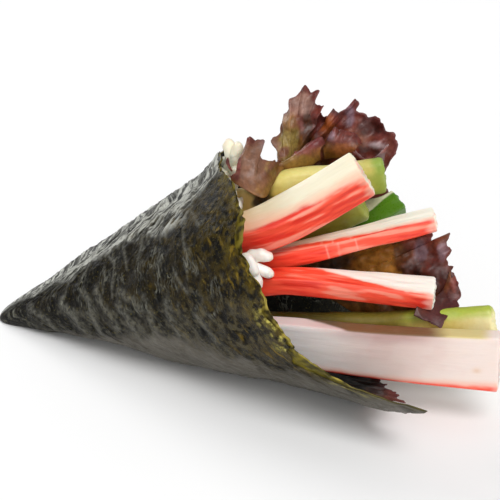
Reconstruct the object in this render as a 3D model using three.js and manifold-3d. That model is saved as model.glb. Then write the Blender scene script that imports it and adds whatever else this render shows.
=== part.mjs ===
// A temaki hand roll lying on its side: a half sheet of seaweed wound into a cone round rice, with
// crab sticks, avocado, cucumber and red-leaf lettuce standing out of its open end.
// Millimetres, +Z up. The roll is laid out with the tip of the cone near x = 0, its open end towards
// +X and the table at z = 0, and the last lines move it so that the origin is the middle of its base.
import * as THREE from "three";
import { mergeVertices } from "three/addons/utils/BufferGeometryUtils.js";
import Module from "manifold-3d";

const rad = THREE.MathUtils.degToRad;
const { clamp, smoothstep, lerp } = THREE.MathUtils;
const point = (x, y, z) => new THREE.Vector3(x, y, z);

// ---- Driving dimensions ----

const GAP = 0.35; // air between one piece and the next

// The cone: its axis climbs from the tip, and its underside has sunk flat on the table.
const AXIS_TILT = rad(17.4);
const HALF_HEIGHT_GROWTH = 0.35; // mm of half height gained for each mm along the axis
const HALF_WIDTH_GROWTH = { near: 0.46, far: 0.33 };
const TIP_RADIUS = 2;
const TIP_ROUNDING = 1.2;
const TIP_HEIGHT = 1.8;
const TIP_DROOP = 1.4; // the last of the tip hangs down and to the near side
const TIP_SWING = 1.8;
const TIP_BEND_LENGTH = 15;
const WAIST = { depth: 0.1, at: 19, length: 9 }; // the twist just behind the tip
const LAYER = 0.42; // one layer of seaweed; the wall is two layers
const WALL = 2 * LAYER;
const SLANT = 1.07; // a step into the sloping wall is this much longer across the axis
const INNER_TIP = 5; // where the hollow of the cone begins, along the axis
const RICE_TIP = 8;
const AROUND = 66; // facets round the cone
const RICE_AROUND = 33;

// How far the sheet reaches along the axis, round the cone: 0° is the table side, 90° the near
// side (-Y) and 180° the top. The corner of the sheet points out low on the near side.
const RIM = [
  [0, 107], [16, 108], [30, 112], [43, 119], [51, 127], [56, 133.5], [60, 123], [64, 115.5],
  [70, 109.5], [77, 106], [84, 103.5], [93, 102], [102, 100.3], [107, 98.6], [112, 96.8],
  [122, 95.4], [134, 95.3], [145, 93.6], [156, 90.8], [171, 86.2], [178, 84], [186, 82.6],
  [194, 83.4], [206, 78.2], [226, 79], [240, 82], [252, 88], [264, 94], [274, 99], [282, 103],
  [290, 110], [295, 113], [303, 111.5], [312, 109], [322, 106], [340, 105],
];
const RIM_RIPPLE = { height: 0.5, count: 17 };
// The outer layer stops this far short of the inner one, most on the near side.
const INNER_LAYER_SHOWS = { most: 2.4, least: 0.6, at: 110 };
const LEDGE = 0.15;
const RIM_LIFT = { height: 4.8, length: 5, at: 184, spread: 24 }; // the rim curls up at the top
const RICE_LIFT = 2.2; // the rice follows it part of the way
// Slow dents and swellings in the wound sheet: height in mm, number round the cone, twist along it.
const DENTS = [
  { height: 0.35, lobes: 3, twist: 0.09 },
  { height: 0.3, lobes: 5, twist: -0.13 },
];

// How far the rice reaches, in the same way.
const RICE_EDGE = [
  [0, 76], [40, 84], [80, 92], [110, 95], [135, 92], [160, 86], [182, 82], [205, 74],
  [240, 68], [290, 66], [330, 70],
];

const SHEET = 0.7; // lettuce

// ---- Solids from rings, grids and sheets ----

// Turns a list of triangles (triples of Vector3) into a closed geometry whose faces point out.
function solidFrom(triangles) {
  const positions = [];
  let volume = 0;
  for (const [a, b, c] of triangles) volume += a.dot(b.clone().cross(c));
  for (const [a, b, c] of triangles) {
    for (const p of volume > 0 ? [a, b, c] : [a, c, b]) positions.push(p.x, p.y, p.z);
  }
  const geometry = new THREE.BufferGeometry();
  geometry.setAttribute("position", new THREE.Float32BufferAttribute(positions, 3));
  return geometry;
}

const middleOf = (ring) =>
  ring.reduce((sum, p) => sum.add(p), point(0, 0, 0)).divideScalar(ring.length);

// Joins a stack of rings with the same number of points into one solid; each end is a fan round
// a point, which is the middle of the end ring unless one is given.
function loftRings(rings, first = middleOf(rings[0]), last = middleOf(rings.at(-1))) {
  const triangles = [];
  const count = rings[0].length;
  for (let j = 0; j < count; j++) {
    const k = (j + 1) % count;
    triangles.push([first, rings[0][k], rings[0][j]]);
    for (let i = 0; i + 1 < rings.length; i++) {
      const [a, b, c, d] = [rings[i][j], rings[i][k], rings[i + 1][k], rings[i + 1][j]];
      triangles.push([a, b, c], [a, c, d]);
    }
    triangles.push([last, rings.at(-1)[j], rings.at(-1)[k]]);
  }
  return solidFrom(triangles);
}

// Moves the border of a grid of points outwards.
function widened(grid, reach) {
  const outward = (p, inner) => p.clone().addScaledVector(p.clone().sub(inner).normalize(), reach);
  const wide = grid.map((row) => [
    outward(row[0], row[1]), ...row.slice(1, -1), outward(row.at(-1), row.at(-2)),
  ]);
  const first = wide[0].map((p, j) => outward(p, wide[1][j]));
  const last = wide.at(-1).map((p, j) => outward(p, wide.at(-2)[j]));
  return [first, ...wide.slice(1, -1), last];
}

// Thickens a grid of points into a sheet with both faces split alike.
function sheetSolid(grid, thickness) {
  const rows = grid.length;
  const columns = grid[0].length;
  const at = (i, j) => grid[clamp(i, 0, rows - 1)][clamp(j, 0, columns - 1)];
  const faces = [0.5, -0.5].map((side) =>
    grid.map((row, i) =>
      row.map((p, j) => {
        const along = at(i + 1, j).clone().sub(at(i - 1, j));
        const across = at(i, j + 1).clone().sub(at(i, j - 1));
        return along.cross(across).normalize().multiplyScalar(side * thickness).add(p);
      })
    )
  );
  const [upper, lower] = faces;
  const triangles = [];
  for (let i = 0; i + 1 < rows; i++) {
    for (let j = 0; j + 1 < columns; j++) {
      for (const [face, turn] of [[upper, false], [lower, true]]) {
        const [a, b, c, d] = [face[i][j], face[i + 1][j], face[i + 1][j + 1], face[i][j + 1]];
        triangles.push(turn ? [a, c, b] : [a, b, c], turn ? [a, d, c] : [a, c, d]);
      }
    }
  }
  const border = [];
  for (let j = 0; j < columns - 1; j++) border.push([0, j]);
  for (let i = 0; i < rows - 1; i++) border.push([i, columns - 1]);
  for (let j = columns - 1; j > 0; j--) border.push([rows - 1, j]);
  for (let i = rows - 1; i > 0; i--) border.push([i, 0]);
  border.forEach(([i, j], n) => {
    const [k, l] = border[(n + 1) % border.length];
    triangles.push([upper[i][j], upper[k][l], lower[k][l]], [upper[i][j], lower[k][l], lower[i][j]]);
  });
  return solidFrom(triangles);
}

// Reads a closed table of [degrees, value] pairs between its stations.
function roundTable(table, degrees) {
  const angle = ((degrees % 360) + 360) % 360;
  const next = table.findIndex(([at]) => at > angle);
  const [b, vb] = next < 0 ? [table[0][0] + 360, table[0][1]] : table[next];
  const [a, va] = table[next < 0 ? table.length - 1 : next - 1];
  return lerp(va, vb, smoothstep(angle, a, b) * 0.35 + ((angle - a) / (b - a)) * 0.65);
}

const bell = (distance, spread) => Math.exp(-((distance / spread) ** 2));
const turnBetween = (a, b) => Math.abs(((a - b + 540) % 360) - 180);

// ---- The cone ----

const rimAt = (degrees) =>
  roundTable(RIM, degrees) + RIM_RIPPLE.height * Math.sin(rad(degrees * RIM_RIPPLE.count));

// The dents fade out towards the tip.
function dentsAt(degrees, along) {
  const waves = DENTS.map(({ height, lobes, twist }) =>
    height * Math.sin(lobes * rad(degrees) + along * twist)
  );
  return smoothstep(along, 8, 40) * waves.reduce((sum, wave) => sum + wave, 0);
}

// A point of the cone's skin, `inset` mm inside its outer face.
function wrapPoint(degrees, along, inset = 0, curl = RIM_LIFT.height) {
  const angle = rad(degrees);
  const tip = TIP_RADIUS * (1 - Math.exp(-along / TIP_ROUNDING));
  const waist = 1 - WAIST.depth * bell(along - WAIST.at, WAIST.length) * clamp(-Math.cos(angle), 0, 1);
  const lift = curl * bell(turnBetween(degrees, RIM_LIFT.at), RIM_LIFT.spread)
    * Math.exp(-Math.max(rimAt(degrees) - along, 0) / RIM_LIFT.length);
  const outward = dentsAt(degrees, along) + lift - inset * SLANT;
  const halfHeight = (HALF_HEIGHT_GROWTH * along + tip) * waist + outward;
  const widening = Math.sin(angle) > 0 ? HALF_WIDTH_GROWTH.near : HALF_WIDTH_GROWTH.far;
  const halfWidth = widening * along + tip + outward;
  const bend = Math.exp(-along / TIP_BEND_LENGTH);
  const rise = -halfHeight * Math.cos(angle);
  return point(
    along * Math.cos(AXIS_TILT) - rise * Math.sin(AXIS_TILT),
    -halfWidth * Math.sin(angle) - TIP_SWING * bend,
    Math.max(TIP_HEIGHT + along * Math.sin(AXIS_TILT) + rise * Math.cos(AXIS_TILT) - TIP_DROOP * bend, inset)
  );
}

const anglesRound = (count) => Array.from({ length: count }, (_, j) => (j * 360) / count);
const wrapRing = (along, inset) =>
  anglesRound(AROUND).map((angle) => wrapPoint(angle, along(angle), inset));

function noriWrap() {
  const steps = [0.012, 0.035, 0.075, 0.13, 0.2, 0.29, 0.39, 0.5, 0.61, 0.72, 0.82, 0.9, 0.96, 1];
  const { most, least, at } = INNER_LAYER_SHOWS;
  const shows = (angle) => clamp(most * Math.cos(rad(angle - at)) + least, least, most);
  const outerEdge = (angle) => rimAt(angle) - shows(angle);
  const outer = steps.map((step) => wrapRing((angle) => step * outerEdge(angle), 0));
  const ledge = wrapRing((angle) => outerEdge(angle) + LEDGE, LAYER);
  const lip = wrapRing(rimAt, LAYER);
  const inner = [1, 0.88, 0.74, 0.58, 0.42, 0.27, 0.13, 0].map((step) =>
    wrapRing((angle) => lerp(INNER_TIP, rimAt(angle) - 0.1, step), WALL)
  );
  return loftRings([...outer, ledge, lip, ...inner], wrapPoint(0, 0));
}

// ---- Sticks and slices: a section carried along a gently bent path ----

// `path`: points from the buried end to the free end. `faces`: the upward direction of the top
// face at both ends, in degrees above the horizon on the near side. `size`: [top width, front
// height] at both ends. `outline`: corners of the section, from -1 to 1 each way.
function carried({ path, faces, size, outline, rings = 9 }, grow = 0) {
  const curve = new THREE.CatmullRomCurve3(path.map((p) => point(...p)));
  const stack = [];
  for (let i = 0; i <= rings; i++) {
    const t = i / rings;
    const tangent = curve.getTangentAt(t);
    const lean = rad(lerp(faces[0], faces[1], t));
    const up = point(0, -Math.cos(lean), Math.sin(lean));
    up.addScaledVector(tangent, -up.dot(tangent)).normalize();
    const front = tangent.clone().cross(up);
    if (front.y > 0) front.negate();
    const width = lerp(size[0][0], size[1][0], t) / 2 + grow;
    const height = lerp(size[0][1], size[1][1], t) / 2 + grow;
    const centre = curve.getPointAt(t);
    if (i === 0) centre.addScaledVector(tangent, -grow);
    if (i === rings) centre.addScaledVector(tangent, grow);
    stack.push(outline.map(([a, b]) =>
      centre.clone().addScaledVector(front, a * width).addScaledVector(up, b * height)
    ));
  }
  return loftRings(stack);
}

// Sections, going round from the front of the top face. Their first number is towards the front.
const STICK_OUTLINE = [
  [0.93, 1], [0.3, 1], [-0.4, 1], [-0.93, 1], [-1, 0.9], [-1, 0], [-0.97, -0.9], [-0.9, -1],
  [0.1, -1], [0.88, -0.98], [1, -0.85], [1.04, 0], [1, 0.88],
];
const SLICE_OUTLINE = [
  [0.72, 0.86], [0.3, 1], [-0.3, 1], [-0.72, 0.86], [-0.94, 0.5], [-1, 0], [-0.95, -0.6],
  [-0.8, -1], [0.8, -1], [0.95, -0.6], [1, 0], [0.94, 0.5],
];
const BATON_OUTLINE = [
  [1, 0.94], [0.9, 1], [0, 1], [-0.9, 1], [-1, 0.9], [-0.6, -0.3], [0, -0.8], [0.5, -1],
  [0.95, -0.6], [1.04, 0.2],
];

const FILLINGS = {
  crab_stick_top: {
    path: [[58, -10, 35], [71, -16, 39.6], [84, -19.5, 45], [96, -16, 51.3], [110.3, -11, 60.6]],
    faces: [74, 62], size: [[9.5, 9.6], [10.4, 9]], outline: STICK_OUTLINE,
  },
  crab_stick_middle: {
    path: [[60, -5, 23.5], [75, -11, 30.2], [93, -15, 37.3], [110.5, -12, 42.8], [129.3, -8, 48.4]],
    faces: [95, 86], size: [[7, 6], [8, 3.9]], outline: STICK_OUTLINE,
  },
  crab_stick_lower: {
    path: [[58, -15, 20.5], [74, -22.5, 28], [92, -23.8, 33.4], [112, -21, 33], [131.3, -19, 32.2]],
    faces: [106, 73], size: [[7.4, 5.2], [8.6, 5.6]], outline: STICK_OUTLINE,
  },
  crab_stick_broad: {
    path: [[60, -20, 12.5], [78, -27.5, 17], [96, -30.5, 19.2], [120, -29.5, 18.6], [150, -28.5, 19.3]],
    faces: [84, 84], size: [[4.4, 10.5], [4.6, 16.8]], outline: STICK_OUTLINE,
  },
  avocado_top: {
    path: [[62, -2, 38.5], [75, -5, 46], [87, -2, 51.3], [100, 1, 53.2], [113, 4, 55.4]],
    faces: [82, 76], size: [[6, 8.5], [6.5, 9.8]], outline: SLICE_OUTLINE,
  },
  avocado_middle: {
    path: [[64, 0, 28], [80, -2, 33.5], [97, -3, 41.2], [108.4, -1.7, 47.6]],
    faces: [80, 70], size: [[5.4, 7.5], [6, 8]], outline: SLICE_OUTLINE,
  },
  avocado_lower: {
    path: [[66, -9, 10.5], [84, -17, 14.5], [104, -19.3, 17.5], [125, -19.5, 20.5], [147, -19.5, 24.8]],
    faces: [84, 84], size: [[5.6, 11.5], [6, 12.5]], outline: SLICE_OUTLINE,
  },
  cucumber_stick: {
    path: [[70, 6, 16], [90, 5.5, 26.5], [105.7, 6, 36.4], [118.5, 9.5, 45.2]],
    faces: [58, 52], size: [[7.6, 7.2], [7, 7]], outline: BATON_OUTLINE,
  },
};

// ---- Lettuce ----

// A leaf is a fan from its foot, inside the cone, out to its edge: a smooth sheet with frills that
// deepen towards the edge. `out` is the way its frills and its belly stand.
const LEAVES = {
  lettuce_top: {
    foot: [[75.8, -13.6, 57.9], [79.2, -15.5, 56.2], [83, -15.5, 54.4], [85, -14.5, 53], [84.8, -9.5, 54.4],
      [85.5, -7, 57.4], [86, -2, 58.2], [87, 4, 57], [86, 8.5, 51], [82, 11, 44], [78, 13, 38],
      [76, 15, 34], [76, 16, 31], [77, 17, 29], [79, 17.5, 27], [82, 18, 25]],
    edge: [[77.4, -12.6, 59.8], [78, -9.2, 64.4], [79, -7.6, 67.5], [82.3, -5, 65], [82.6, -4.5, 61.4],
      [84, -1, 59.4], [85.3, 5, 58.8], [84, 9, 61], [84, 12, 66.6], [86, 14, 71.2], [88.8, 15, 75.2],
      [94.5, 14.8, 69], [102.5, 15.8, 70.8], [109.6, 16, 67], [115, 15, 59], [114.3, 13.8, 45]],
    out: [-0.25, -0.95, 0.2], belly: 1.5, waves: 14, frill: 1.7, rows: 7, columns: 62,
  },
  lettuce_middle: {
    foot: [[90, -1.8, 31], [89, -2, 29.5], [89, -2.4, 28], [92, -3.6, 27], [97, -5.4, 26.4], [103, -7.6, 25.6],
      [111, -10.6, 21.8], [122, -12.2, 23], [131.5, -13, 26], [133.8, -16, 30.3], [134, -21, 30.6],
      [133.4, -23.7, 30]],
    edge: [[108.7, -3.4, 34.7], [120.3, -5, 38], [124, -7, 41.9], [128.8, -8.5, 45], [133.6, -10.5, 45.2],
      [135.2, -12, 39], [138, -12.8, 34], [138.5, -14, 32], [138.2, -18.5, 31.2], [136.2, -23.8, 29.5],
      [134.8, -24.1, 26.2], [129, -24.1, 27.6]],
    out: [-0.1, -0.9, 0.4], belly: 0.6, waves: 8, frill: 1, rows: 6, columns: 42,
  },
  lettuce_bottom: {
    foot: [[84, -8, 4.5], [84, -15, 5.2], [86, -22, 6.5], [88, -29, 9]],
    edge: [[117, -14, 6], [120, -24, 7.2], [122.5, -30, 7.8], [127, -37.5, 9.2]],
    out: [0, -0.2, 1], belly: 0.3, waves: 4, frill: 0.7, rows: 5, columns: 16,
  },
};

function leafGrid({ foot, edge, out, belly, waves, frill, rows, columns }) {
  const footCurve = new THREE.CatmullRomCurve3(foot.map((p) => point(...p)));
  const edgeCurve = new THREE.CatmullRomCurve3(edge.map((p) => point(...p)));
  const side = point(...out).normalize();
  return Array.from({ length: rows + 1 }, (_, i) => {
    const v = i / rows;
    return Array.from({ length: columns + 1 }, (_, j) => {
      const u = j / columns;
      const p = footCurve.getPoint(u).lerp(edgeCurve.getPoint(u), v);
      const ruffle = frill * v ** 2.5 * Math.sin(2 * Math.PI * waves * u + 1.5 * Math.sin(9 * u));
      return p.addScaledVector(side, belly * Math.sin(Math.PI * v) + ruffle);
    });
  });
}

// ---- Rice ----

const wasm = await Module();
wasm.setup();

function toManifold(geometry) {
  const bare = geometry.clone();
  bare.deleteAttribute("normal");
  bare.deleteAttribute("uv");
  const merged = mergeVertices(bare, 1e-4);
  return new wasm.Manifold(
    new wasm.Mesh({
      numProp: 3,
      vertProperties: merged.attributes.position.array,
      triVerts: new Uint32Array(merged.index.array),
    })
  );
}

function fromManifold(solid) {
  const { vertProperties, triVerts } = solid.getMesh();
  const geometry = new THREE.BufferGeometry();
  geometry.setAttribute("position", new THREE.BufferAttribute(vertProperties, 3));
  geometry.setIndex(new THREE.BufferAttribute(triVerts, 1));
  return geometry;
}

function seededRandom(seed) {
  let state = seed;
  return () => {
    state = (Math.imul(state, 1664525) + 1013904223) >>> 0;
    return state / 4294967296;
  };
}

const riceEdgeAt = (degrees) => roundTable(RICE_EDGE, degrees);
const RICE_CENTRE = { along: 84, rise: 4 }; // the middle of the rice's open face
const RICE_SWELL = { height: 0.9, lobes: 5, twist: 9 };

// The rice packed inside the cone, up to its uneven open face. `share` 1 is the wall and 0 the
// middle of the open face.
function riceFacePoint(degrees, share) {
  const wall = wrapPoint(degrees, riceEdgeAt(degrees), WALL + GAP, RICE_LIFT);
  const { height, lobes, twist } = RICE_SWELL;
  const swell = height * Math.sin(rad(degrees * lobes) + share * twist) * Math.sin(Math.PI * share);
  const axis = point(Math.cos(AXIS_TILT), 0, Math.sin(AXIS_TILT));
  const middle = axis.clone().multiplyScalar(RICE_CENTRE.along);
  middle.z += RICE_CENTRE.rise;
  return middle.lerp(wall, share).addScaledVector(axis, swell);
}

function riceCore() {
  const angles = anglesRound(RICE_AROUND);
  const body = [0, 0.14, 0.35, 0.6, 0.82, 1].map((step) =>
    angles.map((angle) => wrapPoint(angle, lerp(RICE_TIP, riceEdgeAt(angle), step), WALL + GAP, RICE_LIFT))
  );
  const face = [0.8, 0.55, 0.25].map((share) => angles.map((angle) => riceFacePoint(angle, share)));
  return loftRings([...body, ...face]);
}

const GRAIN = { length: 6.8, width: 3 };
const GRAIN_HOLD = 2; // a grain sticks if at least this many mm³ of it is in the rice

// One grain: a plump, slightly pointed bead along +X.
function grainAt(centre, direction, scale) {
  const geometry = new THREE.SphereGeometry(0.5, 5, 4);
  geometry.rotateZ(Math.PI / 2);
  geometry.scale(GRAIN.length * scale, GRAIN.width * scale, GRAIN.width * scale);
  const turn = new THREE.Quaternion().setFromUnitVectors(point(1, 0, 0), direction.clone().normalize());
  geometry.applyQuaternion(turn);
  geometry.translate(centre.x, centre.y, centre.z);
  return geometry;
}

// Where the rice shows: along the near rim, and under the curled rim at the top.
const RICE_SHOWS = [
  { from: 96, to: 150, share: [0.8, 0.97], beyond: [0.5, 2.5], grains: 24 },
  { from: 166, to: 200, share: [0.86, 0.97], beyond: [0.6, 3.6], grains: 16 },
  { from: 30, to: 96, share: [0.75, 0.96], beyond: [0.2, 1.5], grains: 16 },
  { from: 200, to: 390, share: [0.4, 0.94], beyond: [0.2, 1.2], grains: 26 },
];

// The plump grains on show beside the crab sticks and under the curled rim: where each one lies
// and which way it points.
const SHOWN_GRAINS = [
  { at: [87, -27.6, 42], along: [1, 0.1, -0.05] },
  { at: [87.6, -28.6, 38.4], along: [1, 0, -0.3] },
  { at: [86.4, -31.2, 37], along: [0.4, 0.1, -0.9] },
  { at: [85.2, -31.5, 41], along: [0.5, -0.3, -0.8] },
  { at: [71, -1.5, 56.9], along: [0.8, -0.5, 0.3] },
  { at: [73, -3.6, 57], along: [0.7, -0.5, 0.5] },
  { at: [75.2, -6.4, 56.4], along: [0.3, -0.8, 0.3] },
  { at: [72.2, -3, 59.4], along: [0.15, 0.1, 1] },
  { at: [74.8, -5.4, 59.2], along: [0.2, -0.2, 1] },
  { at: [73.6, -4.6, 61.9], along: [-0.05, 0.05, 1] },
];

function riceGrains() {
  const random = seededRandom(20);
  const grains = SHOWN_GRAINS.map(({ at, along }) => grainAt(point(...at), point(...along), 1.05));
  for (const { from, to, share, beyond, grains: count } of RICE_SHOWS) {
    for (let n = 0; n < count; n++) {
      const angle = lerp(from, to, (n + random()) / count);
      const centre = riceFacePoint(angle, lerp(...share, random()));
      centre.x += lerp(...beyond, random());
      const direction = point(random() - 0.3, random() - 0.5, random() - 0.5);
      grains.push(grainAt(centre, direction, lerp(0.88, 1.1, random())));
    }
  }
  return grains;
}

// Grains that would cut into a filling or the wrap are left off, and so are loose scraps.
function rice(neighbours, wrap) {
  let body = toManifold(riceCore());
  for (const neighbour of neighbours) body = body.subtract(neighbour);
  for (const grain of riceGrains().map(toManifold)) {
    const blocked = [...neighbours, wrap].some((other) => grain.intersect(other).volume() > 0);
    if (!blocked && grain.intersect(body).volume() > GRAIN_HOLD) body = body.add(grain);
  }
  const pieces = body.decompose();
  pieces.sort((a, b) => b.volume() - a.volume());
  return fromManifold(pieces[0]);
}

// ---- The scene graph ----

const MATERIALS = {
  nori_wrap: { color: 0x35332c, roughness: 0.55, metalness: 0 },
  rice: { color: 0xf0e8e0, roughness: 0.6, metalness: 0 },
  crab: { color: 0xf4e4d8, roughness: 0.5, metalness: 0 },
  avocado: { color: 0xc2bd6c, roughness: 0.5, metalness: 0 },
  cucumber: { color: 0x496725, roughness: 0.4, metalness: 0 },
  lettuce: { color: 0x7c4a3e, roughness: 0.5, metalness: 0 },
};

const roll = new THREE.Group();

function addPiece(name, material, geometry) {
  const mesh = new THREE.Mesh(geometry, new THREE.MeshStandardMaterial(MATERIALS[material]));
  mesh.name = name;
  roll.add(mesh);
}

const wrap = noriWrap();
addPiece("nori_wrap", "nori_wrap", wrap);
const grown = [];
for (const [name, filling] of Object.entries(FILLINGS)) {
  addPiece(name, name.split("_")[0], carried(filling));
  grown.push(toManifold(carried(filling, GAP)));
}
for (const [name, leaf] of Object.entries(LEAVES)) {
  const grid = leafGrid(leaf);
  addPiece(name, "lettuce", sheetSolid(grid, SHEET));
  grown.push(toManifold(sheetSolid(widened(grid, GAP), SHEET + 2 * GAP)));
}
addPiece("rice", "rice", rice(grown, toManifold(wrap)));

// The origin goes to the middle of the base.
const box = new THREE.Box3().setFromObject(roll);
const middle = box.getCenter(point(0, 0, 0));
roll.position.set(-middle.x, -middle.y, -box.min.z);

export default roll;
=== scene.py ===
"""A temaki hand roll: its seaweed, rice, crab sticks, avocado, cucumber and red-leaf lettuce."""

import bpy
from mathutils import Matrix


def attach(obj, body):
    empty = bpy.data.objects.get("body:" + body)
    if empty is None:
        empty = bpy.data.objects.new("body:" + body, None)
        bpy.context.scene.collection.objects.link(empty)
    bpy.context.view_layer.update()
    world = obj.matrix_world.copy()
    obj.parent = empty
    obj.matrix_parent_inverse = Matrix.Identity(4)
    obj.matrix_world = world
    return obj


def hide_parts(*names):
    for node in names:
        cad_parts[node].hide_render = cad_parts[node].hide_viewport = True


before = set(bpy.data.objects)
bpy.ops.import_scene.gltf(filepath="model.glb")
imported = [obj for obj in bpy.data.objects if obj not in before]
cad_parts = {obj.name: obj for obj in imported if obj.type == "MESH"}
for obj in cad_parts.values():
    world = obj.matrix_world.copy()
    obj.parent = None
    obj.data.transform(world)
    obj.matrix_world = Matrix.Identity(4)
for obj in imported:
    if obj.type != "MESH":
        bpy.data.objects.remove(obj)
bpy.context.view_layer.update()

import math

import bpy
import numpy as np
from mathutils import Matrix, Vector
from mathutils.bvhtree import BVHTree

# The roll is laid out in mm with its tip near x = 0; SHIFT takes that layout to the part's frame.
MM = 0.001
SHIFT = np.array([-75.117, 7.765, 0.0])


# ---- Numbers ----

def smooth(x, a, b):
    t = np.clip((x - a) / (b - a), 0, 1)
    return t * t * (3 - 2 * t)


def mix(a, b, t):
    return a + (b - a) * t


def blend(a, b, t):
    """Mixes two colours, or a field of them, by a field of amounts."""
    return mix(np.asarray(a), np.asarray(b), np.asarray(t)[..., None])


def layered(paint, *layers):
    """Lays colours over each other; each layer is (colour, how much of it shows)."""
    for colour, amount in layers:
        paint = blend(paint, colour, amount)
    return paint


def rgb(r, g, b):
    c = np.array([r, g, b]) / 255
    return np.where(c <= 0.04045, c / 12.92, ((c + 0.055) / 1.055) ** 2.4)


def bell(x, spread):
    return np.exp(-((x / spread) ** 2))


def unit(v):
    v = np.asarray(v, float)
    return v / np.maximum(np.linalg.norm(v, axis=-1, keepdims=True), 1e-9)


def lattice(cell, seed):
    mask = 0xFFFFFFFF
    h = (cell[..., 0] * 73856093) ^ (cell[..., 1] * 19349663) ^ (cell[..., 2] * 83492791)
    h = (h ^ (seed * 2654435761)) & mask
    for _ in range(2):
        h = ((h ^ (h >> 16)) * 0x45D9F3B) & mask
    return (h ^ (h >> 16)) / mask * 2 - 1


def noise(*coordinates, seed=0):
    """Smooth value noise from -1 to 1, over one to three coordinates."""
    fields = list(np.broadcast_arrays(*coordinates)) + [np.zeros(1)] * (3 - len(coordinates))
    p = np.stack(np.broadcast_arrays(*fields), axis=-1).astype(float)
    cell = np.floor(p).astype(np.int64)
    f = p - cell
    w = f * f * f * (f * (f * 6 - 15) + 10)
    total = 0
    for corner in np.ndindex(2, 2, 2):
        corner = np.array(corner)
        total = total + np.prod(np.where(corner, w, 1 - w), axis=-1) * lattice(cell + corner, seed)
    return total


def fbm(*coordinates, octaves=3, seed=0, gain=0.5):
    total, amount, reach = 0, 1.0, 0.0
    for n in range(octaves):
        total = total + amount * noise(*[np.asarray(c) * 2.03**n + 7.3 * n for c in coordinates],
                                       seed=seed + n)
        reach += amount
        amount *= gain
    return total / reach


def ridges(*coordinates, octaves=2, seed=0, sharp=2.5):
    """Thin raised lines: 1 on the line, falling to 0 between them."""
    total, amount, reach = 0, 1.0, 0.0
    for n in range(octaves):
        line = 1 - np.abs(noise(*[np.asarray(c) * 2.1**n + 3.7 * n for c in coordinates],
                                seed=seed + n))
        total = total + amount * line ** (sharp * 2)
        reach += amount
        amount *= 0.5
    return total / reach


# ---- Curves and meshes ----

def catmull(points, t):
    """A centripetal Catmull-Rom curve through the points, at t from 0 to 1."""
    p = np.asarray(points, float)
    last = len(p) - 1
    p = np.vstack([2 * p[0] - p[1], p, 2 * p[-1] - p[-2]])
    s = np.clip(np.asarray(t, float), 0, 1) * last
    i = np.minimum(np.floor(s).astype(int), last - 1)
    w = (s - i)[..., None]
    a, b, c, d = p[i], p[i + 1], p[i + 2], p[i + 3]
    gap = [np.maximum(np.linalg.norm(y - x, axis=-1), 1e-4)[..., None] ** 0.5
           for x, y in ((a, b), (b, c), (c, d))]
    m1 = ((b - a) / gap[0] - (c - a) / (gap[0] + gap[1]) + (c - b) / gap[1]) * gap[1]
    m2 = ((c - b) / gap[1] - (d - b) / (gap[1] + gap[2]) + (d - c) / gap[2]) * gap[1]
    return (b + m1 * w + (-3 * b + 3 * c - 2 * m1 - m2) * w**2
            + (2 * b - 2 * c + m1 + m2) * w**3)


def even_curve(points, t):
    """The same curve with t in proportion to the length along it."""
    steps = np.linspace(0, 1, 401)
    dense = catmull(points, steps)
    length = np.concatenate([[0], np.cumsum(np.linalg.norm(np.diff(dense, axis=0), axis=1))])
    return catmull(points, np.interp(np.asarray(t) * length[-1], length, steps)), length[-1]


def make_piece(name, points, faces, slot, *nodes, paint, fields=None):
    """A smooth mesh from points in mm, in its slot's material, standing for CAD nodes."""
    mesh = bpy.data.meshes.new(name)
    mesh.from_pydata(((np.asarray(points) + SHIFT) * MM).tolist(), [], faces)
    mesh.validate()
    mesh.shade_smooth()
    colour = mesh.attributes.new("paint", "FLOAT_COLOR", "POINT")
    rgba = np.ones((len(points), 4), np.float32)
    rgba[:, :3] = np.clip(paint, 0, 1)
    colour.data.foreach_set("color", rgba.ravel())
    for key, values in (fields or {}).items():
        kind = "FLOAT_VECTOR" if np.ndim(values) == 2 else "FLOAT"
        layer = mesh.attributes.new(key, kind, "POINT")
        layer.data.foreach_set("vector" if kind == "FLOAT_VECTOR" else "value",
                               np.asarray(values, np.float32).ravel())
    mesh.materials.append(MATERIALS[slot])
    piece = bpy.data.objects.new(name, mesh)
    bpy.context.scene.collection.objects.link(piece)
    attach(piece, "root")
    if nodes:
        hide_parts(*nodes)
    return piece


def tube_faces(rings, around):
    """Quads between rings that close on themselves, and fans that close the tube's ends, to the
    two points that follow the rings."""
    j = np.arange(around)
    k = (j + 1) % around
    quads = [np.stack([i * around + j, i * around + k, (i + 1) * around + k, (i + 1) * around + j],
                      axis=1) for i in range(rings - 1)]
    total = rings * around
    last = total - around
    first_end = np.stack([k, j, np.full(around, total)], axis=1)
    last_end = np.stack([np.full(around, total + 1), last + j, last + k], axis=1)
    return np.concatenate(quads).tolist() + first_end.tolist() + last_end.tolist()


def capped(rings):
    """The rings' points, then the middle of the first ring and that of the last."""
    return np.concatenate([*rings, *[rings[k].mean(axis=0, keepdims=True) for k in (0, -1)]])


# ---- Materials ----

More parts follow.
